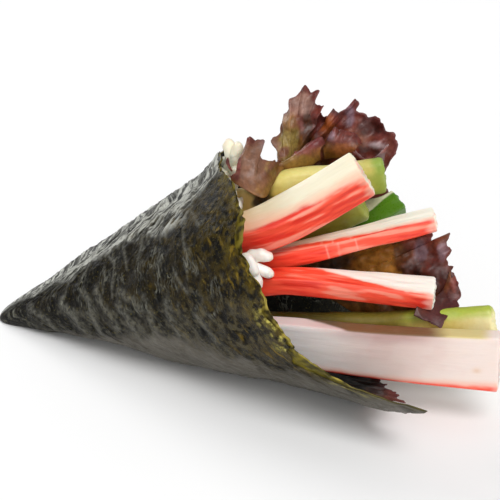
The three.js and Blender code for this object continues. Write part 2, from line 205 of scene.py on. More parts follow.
class Shader:
    """A material's nodes: add() makes one and joins or sets its inputs."""

    def __init__(self, name):
        self.material = bpy.data.materials.new(name)
        self.material.use_nodes = True
        self.tree = self.material.node_tree
        self.tree.nodes.clear()

    def add(self, kind, inputs=None, **settings):
        node = self.tree.nodes.new(kind)
        for key, value in settings.items():
            setattr(node, key, value)
        for key, value in (inputs or {}).items():
            socket = node.inputs[key]
            if isinstance(value, bpy.types.NodeSocket):
                self.tree.links.new(value, socket)
            else:
                socket.default_value = value
        return node

    def field(self, name, output="Fac"):
        return self.add("ShaderNodeAttribute", attribute_name=name).outputs[output]

    def place(self):
        """Where a point is, in mm."""
        at = self.add("ShaderNodeTexCoord").outputs["Object"]
        return self.add("ShaderNodeVectorMath", {0: at, "Scale": 1000.0},
                        operation="SCALE").outputs[0]

    def stretched(self, vector, scale):
        return self.add("ShaderNodeVectorMath", {0: vector, 1: scale},
                        operation="MULTIPLY").outputs[0]

    def noise(self, vector, scale=1.0, detail=3.0, rough=0.55):
        return self.add("ShaderNodeTexNoise", {"Vector": vector, "Scale": scale, "Detail": detail,
                                               "Roughness": rough}).outputs["Fac"]

    def lines(self, vector, width, detail=2.0):
        """Thin winding lines: 1 on a line, falling to 0 at `width` beside it."""
        level = self.maths("SUBTRACT", self.noise(vector, 1.0, detail, 0.5), 0.5)
        return self.ramp(self.maths("ABSOLUTE", level, 0.0), width, 0.0)

    def ramp(self, value, low, high, out_low=0.0, out_high=1.0):
        return self.add("ShaderNodeMapRange", {"Value": value, "From Min": low, "From Max": high,
                                               "To Min": out_low, "To Max": out_high},
                        interpolation_type="SMOOTHSTEP").outputs["Result"]

    def maths(self, operation, a, b):
        return self.add("ShaderNodeMath", {0: a, 1: b}, operation=operation).outputs[0]

    def times(self, value, *others):
        for other in others:
            value = self.maths("MULTIPLY", value, other)
        return value

    def tint(self, colour, other, amount, how="MIX"):
        """Mixes two colours. The node's colour sockets are inputs 6 and 7 and output 2."""
        node = self.add("ShaderNodeMix", data_type="RGBA", blend_type=how)
        for index, value in ((0, amount), (6, colour), (7, other)):
            if isinstance(value, bpy.types.NodeSocket):
                self.tree.links.new(value, node.inputs[index])
            elif index == 0:
                node.inputs[index].default_value = value
            else:
                node.inputs[index].default_value = (*value, 1.0)
        return node.outputs[2]

    def bump(self, height, strength, distance_mm, normal=None):
        inputs = {"Height": height, "Strength": strength, "Distance": distance_mm * MM}
        if normal is not None:
            inputs["Normal"] = normal
        return self.add("ShaderNodeBump", inputs).outputs["Normal"]

    def finish(self, **inputs):
        body = self.add("ShaderNodeBsdfPrincipled",
                        {key.replace("_", " "): value for key, value in inputs.items()})
        out = self.add("ShaderNodeOutputMaterial")
        self.tree.links.new(body.outputs[0], out.inputs["Surface"])
        return self.material


def nori_material():
    """Near-black moist seaweed with pale fibres, olive and frayed towards its mouth. Painted light
    lies on it:
    highlights on the fibres, a sheen along the top and a grey sheen low down.
    """
    s = Shader("nori")
    place = s.place()
    flow = s.field("flow", "Vector")
    zones = s.add("ShaderNodeSeparateXYZ", {0: s.field("zones", "Vector")}).outputs
    mouth, top, low = zones["X"], zones["Y"], zones["Z"]
    bare = s.ramp(s.field("under"), 1.0, 0.0, 0.2, 1.0)
    grain = s.noise(place, 0.9, 5.0, 0.65)
    speck = s.noise(s.stretched(flow, (0.55, 0.24, 0.0)), 1.0, 4.0, 0.6)
    mottle = s.noise(place, 0.42, 4.0, 0.6)
    cluster = s.noise(place, 0.16, 3.0, 0.6)
    hair = s.lines(s.stretched(flow, (0.36, 0.06, 0.0)), 0.03)
    fibre = s.lines(s.stretched(flow, (0.7, 0.16, 0.0)), 0.05, 3.0)
    streak = s.noise(s.stretched(flow, (0.6, 0.08, 0.0)), 1.0, 5.0, 0.62)
    # Pale threads, partly fibres and partly painted highlights, are few on the dark side and dense on
    # the top and low down.
    dense = s.maths("ADD", cluster, s.times(s.maths("ADD", top, low), 0.05))
    thread_and_glint = s.times(s.maths("MAXIMUM", hair, s.times(fibre, 0.6)), s.ramp(dense, 0.5, 0.62), bare)
    thread_and_glint = s.times(thread_and_glint, s.ramp(s.maths("MAXIMUM", mouth, low), 0.3, 1.0, 1.0, 0.2))
    low_sheen = s.times(s.ramp(mottle, 0.5, 0.62), low, bare)
    top_sheen = s.times(s.ramp(streak, 0.45, 0.54), top, s.ramp(mottle, 0.36, 0.52, 0.45, 1.0))
    olive = s.times(s.ramp(mottle, 0.44, 0.6), mouth)
    amber = s.times(s.ramp(speck, 0.56, 0.7), s.ramp(mouth, 0.0, 0.9, 0.04, 0.6))
    fleck = s.ramp(s.noise(place, 1.7, 3.0, 0.6), 0.6, 0.68)
    fleck = s.times(fleck, s.ramp(top, 0.0, 0.7, 0.34, 0.0), bare)
    colour = s.field("paint", "Color")
    # Painted light in these layers: a grey sheen low down, highlights on the pale threads, and a sheen
    # along the top.
    for tone, amount in (
        (rgb(8, 7, 5), s.times(s.ramp(grain, 0.56, 0.4, 0.0, 0.7), bare)),
        (rgb(86, 84, 74), s.times(low_sheen, 0.6)),
        (rgb(134, 134, 122), s.times(thread_and_glint, 0.6)),
        (rgb(208, 209, 200), s.times(top_sheen, 0.9)),
        (rgb(72, 58, 3), s.times(olive, 0.85)),
        (rgb(128, 118, 62), fleck),
        (rgb(138, 112, 26), amber),
    ):
        colour = s.tint(colour, tone, amount)
    rough = s.maths("ADD", s.ramp(streak, 0.35, 0.65, 0.3, 0.46), s.ramp(grain, 0.3, 0.7, 0.0, 0.12))
    pits = s.times(s.maths("SUBTRACT", grain, 0.5), bare)
    creased = s.times(streak, s.ramp(top, 0.0, 1.0, 0.5, 1.0))
    normal = s.bump(pits, 0.8, 0.45, s.bump(creased, 0.8, 0.9, s.bump(thread_and_glint, 0.8, 0.5)))
    return s.finish(Base_Color=colour, Roughness=rough, Normal=normal, Specular_IOR_Level=0.12)


def painted_material(name, scale, spread, rough, bump, specular=0.5, subsurface=0.0, depth=1.0,
                     coat=0.0, stretch=None):
    """A moist food: its painted colour, broken up by fine noise of this `scale` for each mm.
    `stretch` draws the noise out along the food, `bump` and `depth` are in mm."""
    s = Shader(name)
    place = s.stretched(s.field("grain", "Vector"), stretch) if stretch else s.place()
    fine = s.noise(place, scale, 4.0, 0.6)
    broad = s.noise(s.place(), scale * 0.18, 3.0, 0.5)
    paint = s.field("paint", "Color")
    colour = s.tint(paint, paint, s.ramp(fine, 0.3, 0.75, 0, spread), "MULTIPLY")
    colour = s.tint(colour, (1.0, 1.0, 1.0), s.ramp(broad, 0.55, 0.8, 0, spread * 0.25), "MIX")
    roughness = s.ramp(fine, 0.25, 0.75, rough - 0.08, rough + 0.1)
    return s.finish(Base_Color=colour, Roughness=roughness, Normal=s.bump(fine, 0.6, bump),
                    Specular_IOR_Level=specular, Subsurface_Weight=subsurface,
                    Subsurface_Radius=(1.0, 0.45, 0.3), Subsurface_Scale=depth * MM,
                    Coat_Weight=coat, Coat_Roughness=0.18)


MOIST = {
    "rice": dict(scale=1.6, spread=0.1, rough=0.38, bump=0.12, subsurface=0.25, depth=1.6, coat=0.1),
    "crab_stick": dict(scale=1.0, spread=0.1, rough=0.42, bump=0.12, subsurface=0.15, depth=1.2,
                       coat=0.08, stretch=(0.16, 2.4, 2.4)),
    "avocado": dict(scale=0.9, spread=0.2, rough=0.45, bump=0.14, subsurface=0.12, depth=1.5),
    "cucumber": dict(scale=1.4, spread=0.1, rough=0.3, bump=0.08, coat=0.2),
    "lettuce": dict(scale=1.1, spread=0.4, rough=0.44, bump=0.25, specular=0.38, coat=0.05),
}
MATERIALS = {"nori": nori_material()}
MATERIALS.update({slot: painted_material(slot, **look) for slot, look in MOIST.items()})


# ---- The cone of seaweed ----

AXIS_TILT = math.radians(17.4)
HALF_HEIGHT_GROWTH = 0.35
NEAR_GROWTH, FAR_GROWTH = 0.46, 0.33
TIP_RADIUS, TIP_ROUNDING, TIP_HEIGHT = 2.0, 1.2, 1.8
TIP_DROOP, TIP_SWING, TIP_BEND_LENGTH = 1.4, 1.8, 15.0
WAIST_DEPTH, WAIST_AT, WAIST_LENGTH = 0.1, 19.0, 9.0
LAYER = 0.42
WALL = 2 * LAYER
INNER_TIP = 5.0
SLANT = 1.07
LIFT_HEIGHT, LIFT_LENGTH, LIFT_AT, LIFT_SPREAD = 4.8, 5.0, 184.0, 24.0
RICE_LIFT = 2.2

# How far the sheet and the rice reach along the axis, round the cone: [degrees, mm]. 0 is the
# table side, 90 the near side and 180 the top.
RIM = [
    [0, 107], [16, 108], [30, 112], [43, 119], [51, 127], [56, 133.5], [60, 123], [64, 115.5],
    [70, 109.5], [77, 106], [84, 103.5], [93, 102], [102, 100.3], [107, 98.6], [112, 96.8],
    [122, 95.4], [134, 95.3], [145, 93.6], [156, 90.2], [171, 84.6], [178, 83], [186, 82.6],
    [194, 83.4], [206, 78.2], [226, 79], [240, 82], [252, 88], [264, 94], [274, 99], [282, 103],
    [290, 110], [295, 113], [303, 111.5], [312, 109], [322, 106], [340, 105],
]
RICE_EDGE = [
    [0, 76], [40, 84], [80, 92], [110, 95], [135, 92], [160, 86], [182, 82], [205, 74],
    [240, 68], [290, 66], [330, 70],
]


def round_table(table, degrees):
    table = np.array([*table, [table[0][0] + 360, table[0][1]]], float)
    angle = np.mod(degrees, 360)
    i = np.clip(np.searchsorted(table[:, 0], angle, side="right") - 1, 0, len(table) - 2)
    t = (angle - table[i, 0]) / (table[i + 1, 0] - table[i, 0])
    return mix(table[i, 1], table[i + 1, 1], t * t * (3 - 2 * t) * 0.35 + t * 0.65)


def rim_at(degrees):
    return round_table(RIM, degrees) + 0.5 * np.sin(np.radians(degrees * 17))


def wrap_point(degrees, along, inset=0.0, curl=LIFT_HEIGHT, proud=0.0):
    """A point of the cone's skin, `inset` mm inside its outer face; `proud` is the relief on it."""
    angle = np.radians(degrees)
    tip = TIP_RADIUS * (1 - np.exp(-along / TIP_ROUNDING))
    waist = 1 - WAIST_DEPTH * bell(along - WAIST_AT, WAIST_LENGTH) * np.clip(-np.cos(angle), 0, 1)
    turn = np.abs(np.mod(degrees - LIFT_AT + 540, 360) - 180)
    lift = (curl * bell(turn, LIFT_SPREAD)
            * np.exp(-np.maximum(rim_at(degrees) - along, 0) / LIFT_LENGTH))
    dents = smooth(along, 8, 40) * (0.35 * np.sin(3 * angle + along * 0.09)
                                    + 0.3 * np.sin(5 * angle - along * 0.13))
    outward = dents + lift + proud - inset * SLANT
    half_height = (HALF_HEIGHT_GROWTH * along + tip) * waist + outward
    half_width = np.where(np.sin(angle) > 0, NEAR_GROWTH, FAR_GROWTH) * along + tip + outward
    bend = np.exp(-along / TIP_BEND_LENGTH)
    rise = -half_height * np.cos(angle)
    return np.stack([
        along * math.cos(AXIS_TILT) - rise * math.sin(AXIS_TILT),
        -half_width * np.sin(angle) - TIP_SWING * bend,
        np.maximum(TIP_HEIGHT + along * math.sin(AXIS_TILT) + rise * math.cos(AXIS_TILT)
                   - TIP_DROOP * bend, inset),
    ], axis=-1)


SECTOR = 0.375  # turn in the flat sheet for each turn round the cone
MOUTH_RADIUS = 36
NEAR_STEP, FAR_STEP = 0.8, 2.2  # degrees between the mesh's points
OUTER_RINGS, INNER_RINGS = 284, 36
OUTSIDE, BELOW, INSIDE = range(3)  # the outer layer, the one below where it shows, and the inside

CREASES = [  # where a layer's free edge lies over the next: (degrees, mm) along it, and its height
    ([(92, 85), (86, 89), (78, 89.5), (58, 88.5), (44, 92), (38, 98)], 0.5),
    ([(136, 33), (122, 36.5), (97, 37.5), (75, 36.5), (58, 35), (40, 31)], 0.4),
]

# Threads, folds and hollows of the near side: each kind's half width and height in mm, and the
# lines that they follow, in (degrees, mm).
THREAD, FOLD, RIDGE, HOLLOW = (0.45, 0.28), (1.15, 0.5), (0.9, 0.35), (0.9, -0.3)
FOLDS = {
    THREAD: [
        [(160, 47), (140, 49), (125, 48.5), (111, 48)], [(138, 45), (128, 45.5), (116, 44.5)],
        [(156, 54), (150, 52), (140, 53), (130, 54)], [(150, 59), (140, 59), (133, 58)],
        [(171, 75), (154, 77), (148, 75), (137, 75), (126, 76.5), (114, 76)],
        [(151, 76.5), (143, 79), (138, 81)], [(138, 31), (126, 30), (118, 28.5)],
        [(152, 39.5), (140, 37.5), (130, 34)], [(160, 65), (150, 66), (139, 67)],
        [(158, 62), (151, 61), (146, 61)], [(122, 71.5), (115, 73), (108, 75)],
        [(149, 46), (140, 48.5)],
    ],
    RIDGE: [
        [(150, 43), (153, 50), (156, 56), (160, 61), (157, 73.5), (163, 76)],
        [(171, 75.5), (174, 79), (170, 82.5)], [(154, 29), (156, 36), (162, 41)],
    ],
    FOLD: [
        [(123, 37), (108, 39), (90, 39), (76, 40)], [(119, 42), (104, 44), (94, 46.5), (82, 47.5)],
        [(104, 50), (94, 52), (76, 53.5)], [(107, 60), (96, 60.5), (84, 59.5), (72, 58)],
        [(118, 15), (92, 20), (64, 22)], [(112, 28), (95, 32), (74, 33.5)],
        [(104, 67), (94, 67), (82, 68)], [(95, 76), (87, 78), (81, 80)],
        [(114, 51), (107, 55), (98, 58)],
    ],
    HOLLOW: [
        [(90, 35.5), (78, 37), (64, 37)], [(86, 29), (60, 29)], [(103, 54), (95, 56), (90, 57)],
        [(98, 63.5), (89, 64), (83, 65)], [(88, 76), (83, 78)], [(91, 85), (88, 88)],
        [(162, 42.5), (160, 47)], [(155, 51), (164, 53.5), (165, 56)],
        [(160, 59.5), (162, 64), (173, 67.5)], [(165, 71), (170, 74)], [(136, 33), (127, 40)],
        [(104, 74), (94, 74)],
    ],
}


def wrinkle_flow(degrees, along):
    """Where a point is across the wrinkles and along them, in mm. They lie round the cone, lean
    over low down on it, and trail off along its ridge at the top."""
    side = 180 - np.abs(180 - degrees)
    drape = np.clip((side - 122) / 50, 0, 0.9)
    lean = 0.25 * (100 - np.clip(side, 40, 100))
    return along - 26 * drape**2 - lean, along * (np.radians(degrees) * SECTOR + 0.4)


def sheet_place(degrees, along):
    """Where a point lies in the flat sheet, in mm."""
    turn = np.radians(degrees) * SECTOR
    return along * np.cos(turn), along * np.sin(turn)


def to_line(x, y, line):
    """How far points lie from a line of straight runs."""
    nearest = np.full(np.shape(x), 1e3)
    for (x0, y0), (x1, y1) in zip(line[:-1], line[1:]):
        run = (x1 - x0) ** 2 + (y1 - y0) ** 2
        t = np.clip(((x - x0) * (x1 - x0) + (y - y0) * (y1 - y0)) / run, 0, 1)
        nearest = np.minimum(nearest, np.hypot(x - mix(x0, x1, t), y - mix(y0, y1, t)))
    return nearest


def folds(degrees, along):
    """The height of the folds in mm, and how far each point is on a raised and on a sunk one."""
    x, y = sheet_place(degrees, along)
    stray = fbm(x / 2.6, y / 2.6, seed=15)
    height, raised, sunk = 0 * x, 0 * x, 0 * x
    for kind, lines in FOLDS.items():
        half_width, lift = kind
        for line in lines:
            line = np.stack(sheet_place(*np.array(line, float).T), axis=1)
            near = bell(to_line(x, y, line), half_width * (1 + 0.7 * stray))
            near = near * smooth(stray, -0.9, -0.2)
            height = height + lift * near
            raised = np.maximum(raised, near * (lift > 0))
            sunk = np.maximum(sunk, near * (lift < 0))
    return height, raised, sunk


def wrinkles(degrees, along):
    """How far each point is up a wrinkle, from 0 to about 1."""
    across, length = wrinkle_flow(degrees, along)
    x, y = sheet_place(degrees, along)
    drift = fbm(x / 9, y / 9, seed=2)
    patch = smooth(fbm(x / 11, y / 11, seed=11), -0.3, 0.35)
    broad = ridges(across / 4.4 + 1.2 * drift, length / 9, seed=3, sharp=3)
    small = ridges(across / 2.2 + 0.9 * drift, length / 4.5, seed=13, sharp=3)
    under = smooth(degrees, 66, 42) + smooth(degrees, 300, 330)
    return (broad * (0.4 + 0.6 * patch) + 0.55 * small * (1.3 - patch)) * (1 - 0.7 * under)


def relief(degrees, along, crest):
    """Wrinkles and creases of the moist sheet, in mm."""
    x, y = sheet_place(degrees, along)
    steps = 0
    for line, height in CREASES:
        line = np.array(line, float)
        order = np.argsort(line[:, 0])
        at = np.interp(degrees, line[order, 0], line[order, 1])
        reach = smooth(degrees, line[:, 0].min(), line[:, 0].min() + 12)
        reach = reach * smooth(degrees, line[:, 0].max(), line[:, 0].max() - 12)
        past = along - at
        steps = steps - height * reach * smooth(past, -0.4, 0.4) * np.exp(-np.maximum(past, 0) / 5)
    crumple = fbm(x / 7, y / 7, octaves=3, seed=7)
    grain = noise(x / 1.2, y / 1.2, seed=9)
    height, _, _ = folds(degrees, along)
    return (smooth(along, 2, 22) * (0.6 * crest + 0.5 * crumple + 0.12 * grain + height)
            - 0.3 + steps)


def nori_zones(degrees, along, rim):
    """How far a point is in the olive mouth, the top with its painted sheen, the mottled lower side
    with its painted grey sheen, and the smooth underside with the floor's painted reflection."""
    x, y = sheet_place(degrees, along)
    stray = fbm(x / 6, y / 6, octaves=3, seed=21)
    near_side = smooth(degrees, 178, 146) * smooth(degrees, 54, 76)
    mouth = np.exp(-np.maximum(rim - along, 0) / (20 + 14 * stray)) * near_side
    top = smooth(degrees + 14 * stray - 14 * smooth(along, 70, 84), 145, 158)
    top = top * smooth(degrees + 20 * stray, 212, 186)
    low = smooth(degrees + 22 * stray, 112, 88) * smooth(degrees, -10, 20)
    brim = 64 + 15 * bell(along - 64, 24)
    under = np.clip(smooth(degrees + 9 * stray, brim + 5, brim - 7) + smooth(degrees, 322, 340), 0, 1)
    return mouth, top, low, under * smooth(along, 14, 34)


def nori_paint(degrees, along, rim, marks, zones):
    crest, raised, sunk = marks
    mouth, top, low, under = zones
    x, y = sheet_place(degrees, along)
    patch = fbm(x / 5, y / 5, octaves=3, seed=24)
    # Pale green crumbs lie on the frayed edge.
    crumbs = smooth(noise(x / 1.3, y / 1.3, seed=25) + 0.6 * patch, 0.1, 0.5)
    crumbs = crumbs * smooth(rim - along, 8, 1.5) * smooth(degrees, 56, 62) * smooth(degrees, 185, 165)
    lower = smooth(degrees, 104, 92)
    crumb_tone = blend(rgb(140, 122, 40), rgb(196, 184, 92), lower)
    # Painted light among these layers: a grey sheen low down, highlights on the wrinkles' crests and
    # on the raised folds and threads, a sheen along the top, the floor's reflection on the underside,
    # and shade in the hollows.
    return layered(
        rgb(6, 5, 3),
        (rgb(25, 22, 15), smooth(patch, -0.2, 0.4)),
        (rgb(62, 60, 53), low * smooth(patch, -0.1, 0.25) * 0.85),
        (rgb(92, 92, 84), smooth(crest, 0.45, 1.1) * (0.08 + 0.25 * low)),
        (rgb(46, 34, 1), mouth * smooth(patch, -0.4, 0.35) * 0.95),
        (rgb(74, 75, 69), top * (0.05 + 0.65 * smooth(patch, -0.25, 0.3))),
        (rgb(100, 96, 88), under * (0.95 - 0.3 * smooth(patch, 0.0, 0.4))),
        (rgb(112, 111, 102), raised * (0.62 - 0.3 * under)),
        (rgb(8, 7, 5), sunk * 0.85),
        (crumb_tone, crumbs * (0.45 + 0.5 * lower)))


def strip_paint(degrees, from_rim, frill):
    """The layer below, where it shows: olive, with a pale torn edge."""
    patch = smooth(degrees, 86, 78) * smooth(degrees, 61, 67)
    torn = smooth(degrees, 80, 90) * smooth(from_rim, 2.2, 0.4)
    torn = np.clip(torn + smooth(from_rim, 0.9, 0.1), 0, 1)
    torn = torn * (1 - 0.6 * smooth(degrees, 104, 116)) * (0.3 + 0.7 * smooth(degrees, 60, 67))
    return layered(
        rgb(44, 36, 1),
        (rgb(92, 80, 6), frill),
        (blend(rgb(56, 50, 3), rgb(120, 108, 20), frill), patch * 0.9),
        (rgb(52, 50, 40), smooth(degrees, 67, 61) * smooth(degrees, 0, 30) * 0.9),
        (rgb(178, 160, 74), torn * frill * 0.8))


def layer_edges(degrees, arc):
    """How far the inner and the outer layer reach. The inner one shows most in three places."""
    fray = 0.6 * noise(arc / 3.1, seed=31) + 0.5 * noise(arc / 1.1, seed=32)
    rim = rim_at(degrees) + fray
    shows = (0.5 + 3.0 * bell(degrees - 131, 8) + 1.9 * bell(degrees - 95, 6)
             + 7.0 * bell(degrees - 72, 7))
    shows = shows * (1 + 0.25 * noise(arc / 4, seed=33)) + 0.4 * noise(arc / 1.2, seed=34)
    return rim, rim - np.maximum(shows, 0.25)


def nori_rings(degrees, rim, outer_edge):
    """Rings of points from the tip over the rim and back down the inside. With them come how far
    along they lie, which side of the sheet they are on, and their wrinkles and folds."""
    rings, lengths, sides, marks = [], [], [], []

    def ring(along, inset, side, bumps=1.0):
        crest = wrinkles(degrees, along)
        rings.append(wrap_point(degrees, along, inset, proud=relief(degrees, along, crest) * bumps))
        lengths.append(along)
        sides.append(side)
        marks.append([crest, *folds(degrees, along)[1:]])

    for step in np.linspace(0.008, 1, OUTER_RINGS) ** 0.9:
        ring(step * outer_edge, 0.0, OUTSIDE)
    ring(outer_edge + 0.08, 0.16, OUTSIDE)
    ring(outer_edge + 0.1, LAYER * 0.85, BELOW)
    for step in (0.2, 0.4, 0.6, 0.8, 0.95):
        ring(mix(outer_edge + 0.1, rim, step), LAYER, BELOW)
    ring(rim, LAYER + 0.12, BELOW)
    ring(rim, LAYER + 0.26, INSIDE)
    for step in np.linspace(0.99, 0, INNER_RINGS):
        inset = mix(WALL, LAYER + 0.32, smooth(step, 0.95, 0.99))
        ring(mix(INNER_TIP, rim, step), inset, INSIDE, 0.8)
    return rings, np.concatenate(lengths), sides, np.concatenate(marks, axis=1)


def build_nori():
    # The points lie closest on the near side.
    degrees = np.concatenate([np.arange(40, 200, NEAR_STEP), np.arange(200, 400, FAR_STEP)])
    degrees = np.mod(degrees, 360)
    around = len(degrees)
    arc = np.radians(degrees) * MOUTH_RADIUS
    rim, outer_edge = layer_edges(degrees, arc)
    rings, along, sides, marks = nori_rings(degrees, rim, outer_edge)
    side = np.repeat(sides, around)
    angle = np.tile(degrees, len(rings))
    rim_here = np.tile(rim, len(rings))
    zones = nori_zones(angle, along, rim_here)
    paint = nori_paint(angle, along, rim_here, marks, zones)
    spot = np.tile(arc, len(rings))
    frill = noise(spot / 0.9, along / 0.9, seed=36) + 0.6 * noise(spot / 3, along / 2, seed=37)
    frill = smooth(frill, -0.6, 0.7)
    strip = strip_paint(angle, rim_here - along, frill)
    inner = blend(rgb(16, 16, 13), rgb(48, 48, 40), frill * smooth(along, 60, 100))
    paint = np.where((side == BELOW)[:, None], strip, paint)
    paint = np.where((side == INSIDE)[:, None], inner, paint)
    *drawn, under = [zone * (side == OUTSIDE) for zone in zones]
    under = np.where(side == BELOW, 0.85, under)
    x, y = sheet_place(angle, along)
    across, length = wrinkle_flow(angle, along)
    across = across + 1.8 * fbm(x / 5, y / 5, seed=17)
    flow = np.stack([across, length, 0 * along], axis=1)
    apex = wrap_point(np.zeros(1), np.zeros(1))
    deep = rings[-1].mean(axis=0, keepdims=True)
    ends = np.zeros((2, 3))
    return make_piece(
        "nori_sheet", np.concatenate([*rings, apex, deep]), tube_faces(len(rings), around), "nori",
        "nori_wrap", paint=np.concatenate([paint, [rgb(30, 30, 25)], [rgb(20, 20, 17)]]),
        fields={"flow": np.concatenate([flow, ends]), "under": np.append(under, [0, 0]),
                "zones": np.concatenate([np.stack(drawn, axis=1), ends])})


# ---- Sticks and slices ----

# The sections, as shares of half their width and height.
STICK = [(0.93, 1), (0.3, 1), (-0.4, 1), (-0.93, 1), (-1, 0.9), (-1, 0), (-0.97, -0.9), (-0.9, -1),
         (0.1, -1), (0.88, -0.98), (1, -0.85), (1.04, 0), (1, 0.88)]
SLICE = [(0.72, 0.86), (0.3, 1), (-0.3, 1), (-0.72, 0.86), (-0.94, 0.5), (-1, 0), (-0.95, -0.6),
         (-0.8, -1), (0.8, -1), (0.95, -0.6), (1, 0), (0.94, 0.5)]
BATON = [(1, 0.94), (0.9, 1), (0, 1), (-0.9, 1), (-1, 0.9), (-0.6, -0.3), (0, -0.8), (0.5, -1),
         (0.95, -0.6), (1.04, 0.2)]

# `path` is the middle line from the buried end to the far one, in mm. `faces` is how the section
# stands at both ends, in degrees: at 90 it is upright, and below that its top leans to the near
# side. `size` is its width and height there.
FILLINGS = {
    "crab_stick_top": dict(
        path=[(58, -10, 35), (71, -16, 39.6), (84, -19.5, 45), (96, -16, 51.3), (110.3, -11, 60.6)],
        faces=(74, 62), size=((9.5, 9.6), (10.4, 9)), outline=STICK),
    "crab_stick_middle": dict(
        path=[(60, -5, 23.5), (75, -11, 30.2), (93, -15, 37.3), (110.5, -12, 42.8),
              (129.3, -8, 48.4)],
        faces=(95, 86), size=((7, 6), (8, 3.9)), outline=STICK),
    "crab_stick_lower": dict(
        path=[(58, -15, 20.5), (74, -22.5, 28), (92, -23.8, 33.4), (112, -21, 33),
              (131.3, -19, 32.2)],
        faces=(106, 73), size=((7.4, 5.2), (8.6, 5.6)), outline=STICK),
    "crab_stick_broad": dict(
        path=[(60, -20, 12.5), (78, -27.5, 17), (96, -30.5, 19.2), (120, -29.5, 18.6),
              (150, -28.5, 19.3)],
        faces=(84, 84), size=((4.4, 10.5), (4.6, 16.8)), outline=STICK),
    "avocado_top": dict(
        path=[(62, -2, 38.5), (75, -5, 46), (87, -2, 51.3), (100, 1, 53.2), (113, 4, 55.4)],
        faces=(82, 76), size=((6, 8.5), (6.5, 9.8)), outline=SLICE),
    "avocado_middle": dict(
        path=[(64, 0, 28), (80, -2, 33.5), (97, -3, 41.2), (108.4, -1.7, 47.6)],
        faces=(80, 70), size=((5.4, 7.5), (6, 8)), outline=SLICE),
    "avocado_lower": dict(
        path=[(66, -9, 10.5), (84, -17, 14.5), (104, -19.3, 17.5), (125, -19.5, 20.5),
              (147, -19.5, 24.8)],
        faces=(84, 84), size=((5.6, 11.5), (6, 12.5)), outline=SLICE),
    "cucumber_stick": dict(
        path=[(70, 6, 16), (90, 5.5, 26.5), (105.7, 6, 36.4), (118.5, 9.5, 45.2)],
        faces=(58, 52), size=((7.6, 7.2), (7, 7)), outline=BATON),
}


def rounded_outline(outline, size, around, radius):
    """The section's corners, evenly sampled and rounded off, in mm across and up."""
    corners = np.array([*outline, outline[0]]) * np.array(size) / 2
    step = np.linalg.norm(np.diff(corners, axis=0), axis=1)
    length = np.concatenate([[0], np.cumsum(step)])
    at = np.arange(around) / around * length[-1]
    line = np.stack([np.interp(at, length, corners[:, k]) for k in (0, 1)], axis=1)
    reach = max(1, int(radius / length[-1] * around * 2))
    weights = bell(np.arange(-reach, reach + 1), reach * 0.6)
    weights /= weights.sum()
    return sum(w * np.roll(line, k - reach, axis=0) for k, w in enumerate(weights))


def path_frames(spec, t):
    """The path's points, its length, and which way is ahead, to the section's front and up."""
    centre, length = even_curve(spec["path"], t)
    ahead, _ = even_curve(spec["path"], np.minimum(t + 0.002, 1))
    behind, _ = even_curve(spec["path"], np.maximum(t - 0.002, 0))
    tangent = unit(ahead - behind)
    lean = np.radians(mix(spec["faces"][0], spec["faces"][1], t))
    up = np.stack([0 * lean, -np.cos(lean), np.sin(lean)], axis=1)
    up = unit(up - tangent * (up * tangent).sum(axis=1, keepdims=True))
    front = np.cross(tangent, up)
    front = np.where(front[:, 1:2] > 0, -front, front)
    return centre, length, tangent, front, up


def facing(section):
    """Which way each point of a section faces."""
    step = np.roll(section, -1, axis=0) - np.roll(section, 1, axis=0)
    normal = unit(np.stack([-step[:, 1], step[:, 0]], axis=1))
    return normal * np.sign((normal * section).sum(axis=1, keepdims=True).mean())


# The rings that close an end: each one's size as a share, and how far out it lies in mm.
END_CAP = [(0.985, 0.16), (0.955, 0.3), (0.9, 0.4), (0.8, 0.45), (0.66, 0.47), (0.5, 0.48),
           (0.34, 0.48), (0.17, 0.48)]


def sweep(spec, rings, around, radius, relief_of, end_relief, end_soft=0.5, widen=None,
          slant=(0, 0, 0)):
    """Carries the section along its path; both ends close in a softly rounded face. `relief_of`
    gives the relief of a ring in mm, and `end_relief` that of the faces. `widen` gives how far the
    back of the section stands out, in mm, at a share of the length. `slant` cuts the far end
    askew: what lies that way off the path reaches further.

    Besides the points and faces, the form has a value of each field at every point: mm `along`,
    shares of the half size `across` and `up`, the size's share at the `rim` and mm of `girth`."""
    t = np.linspace(0, 1, rings)
    centre, length, tangent, front, up = path_frames(spec, t)
    near, far = np.array(spec["size"][0]), np.array(spec["size"][1])
    middle_size = (near + far) / 2
    section = rounded_outline(spec["outline"], middle_size, around, radius)
    share = section / (middle_size / 2)
    normal = facing(section)
    girth = np.concatenate([[0], np.cumsum(np.linalg.norm(np.diff(section, axis=0), axis=1))])
    cap = [(scale, offset * end_soft / 0.5) for scale, offset in END_CAP]
    rows = [(0, scale, -offset) for scale, offset in cap[::-1]]
    rows += [(k, 1.0, 0.0) for k in range(rings)]
    rows += [(rings - 1, scale, offset) for scale, offset in cap]
    points = []
    fields = {key: [] for key in ("along", "across", "up", "rim", "girth")}
    for k, scale, offset in rows:
        size = mix(near, far, t[k]) / middle_size
        flat = section * size * scale
        if widen is not None:
            flat[:, 0] -= widen(t[k]) * smooth(share[:, 0], -0.55, -0.9) * scale
        at = np.full(around, t[k] * length)
        bumps = relief_of(at, girth) * min(1, scale)
        flat = flat + normal * bumps[:, None]
        p = centre[k] + flat[:, :1] * front[k] + flat[:, 1:] * up[k]
        out = offset + end_relief(flat[:, 0], flat[:, 1]) * (1 - scale**6) * np.sign(offset)
        aside = (p - centre[k]) @ np.array(slant) - np.linalg.norm(slant) * 3
        out = out + smooth(t[k], 0.75, 1) * aside
        points.append(p + np.reshape(out, (-1, 1)) * tangent[k])
        rim = np.full(around, scale)
        for key, values in zip(fields, (at, share[:, 0] * scale, share[:, 1] * scale, rim, girth)):
            fields[key].append(values)
    form = {key: np.concatenate([*parts, [0.0, length if key == "along" else 0.0]])
            for key, parts in fields.items()}
    return dict(form, points=capped(points), faces=tube_faces(len(rows), around), length=length)


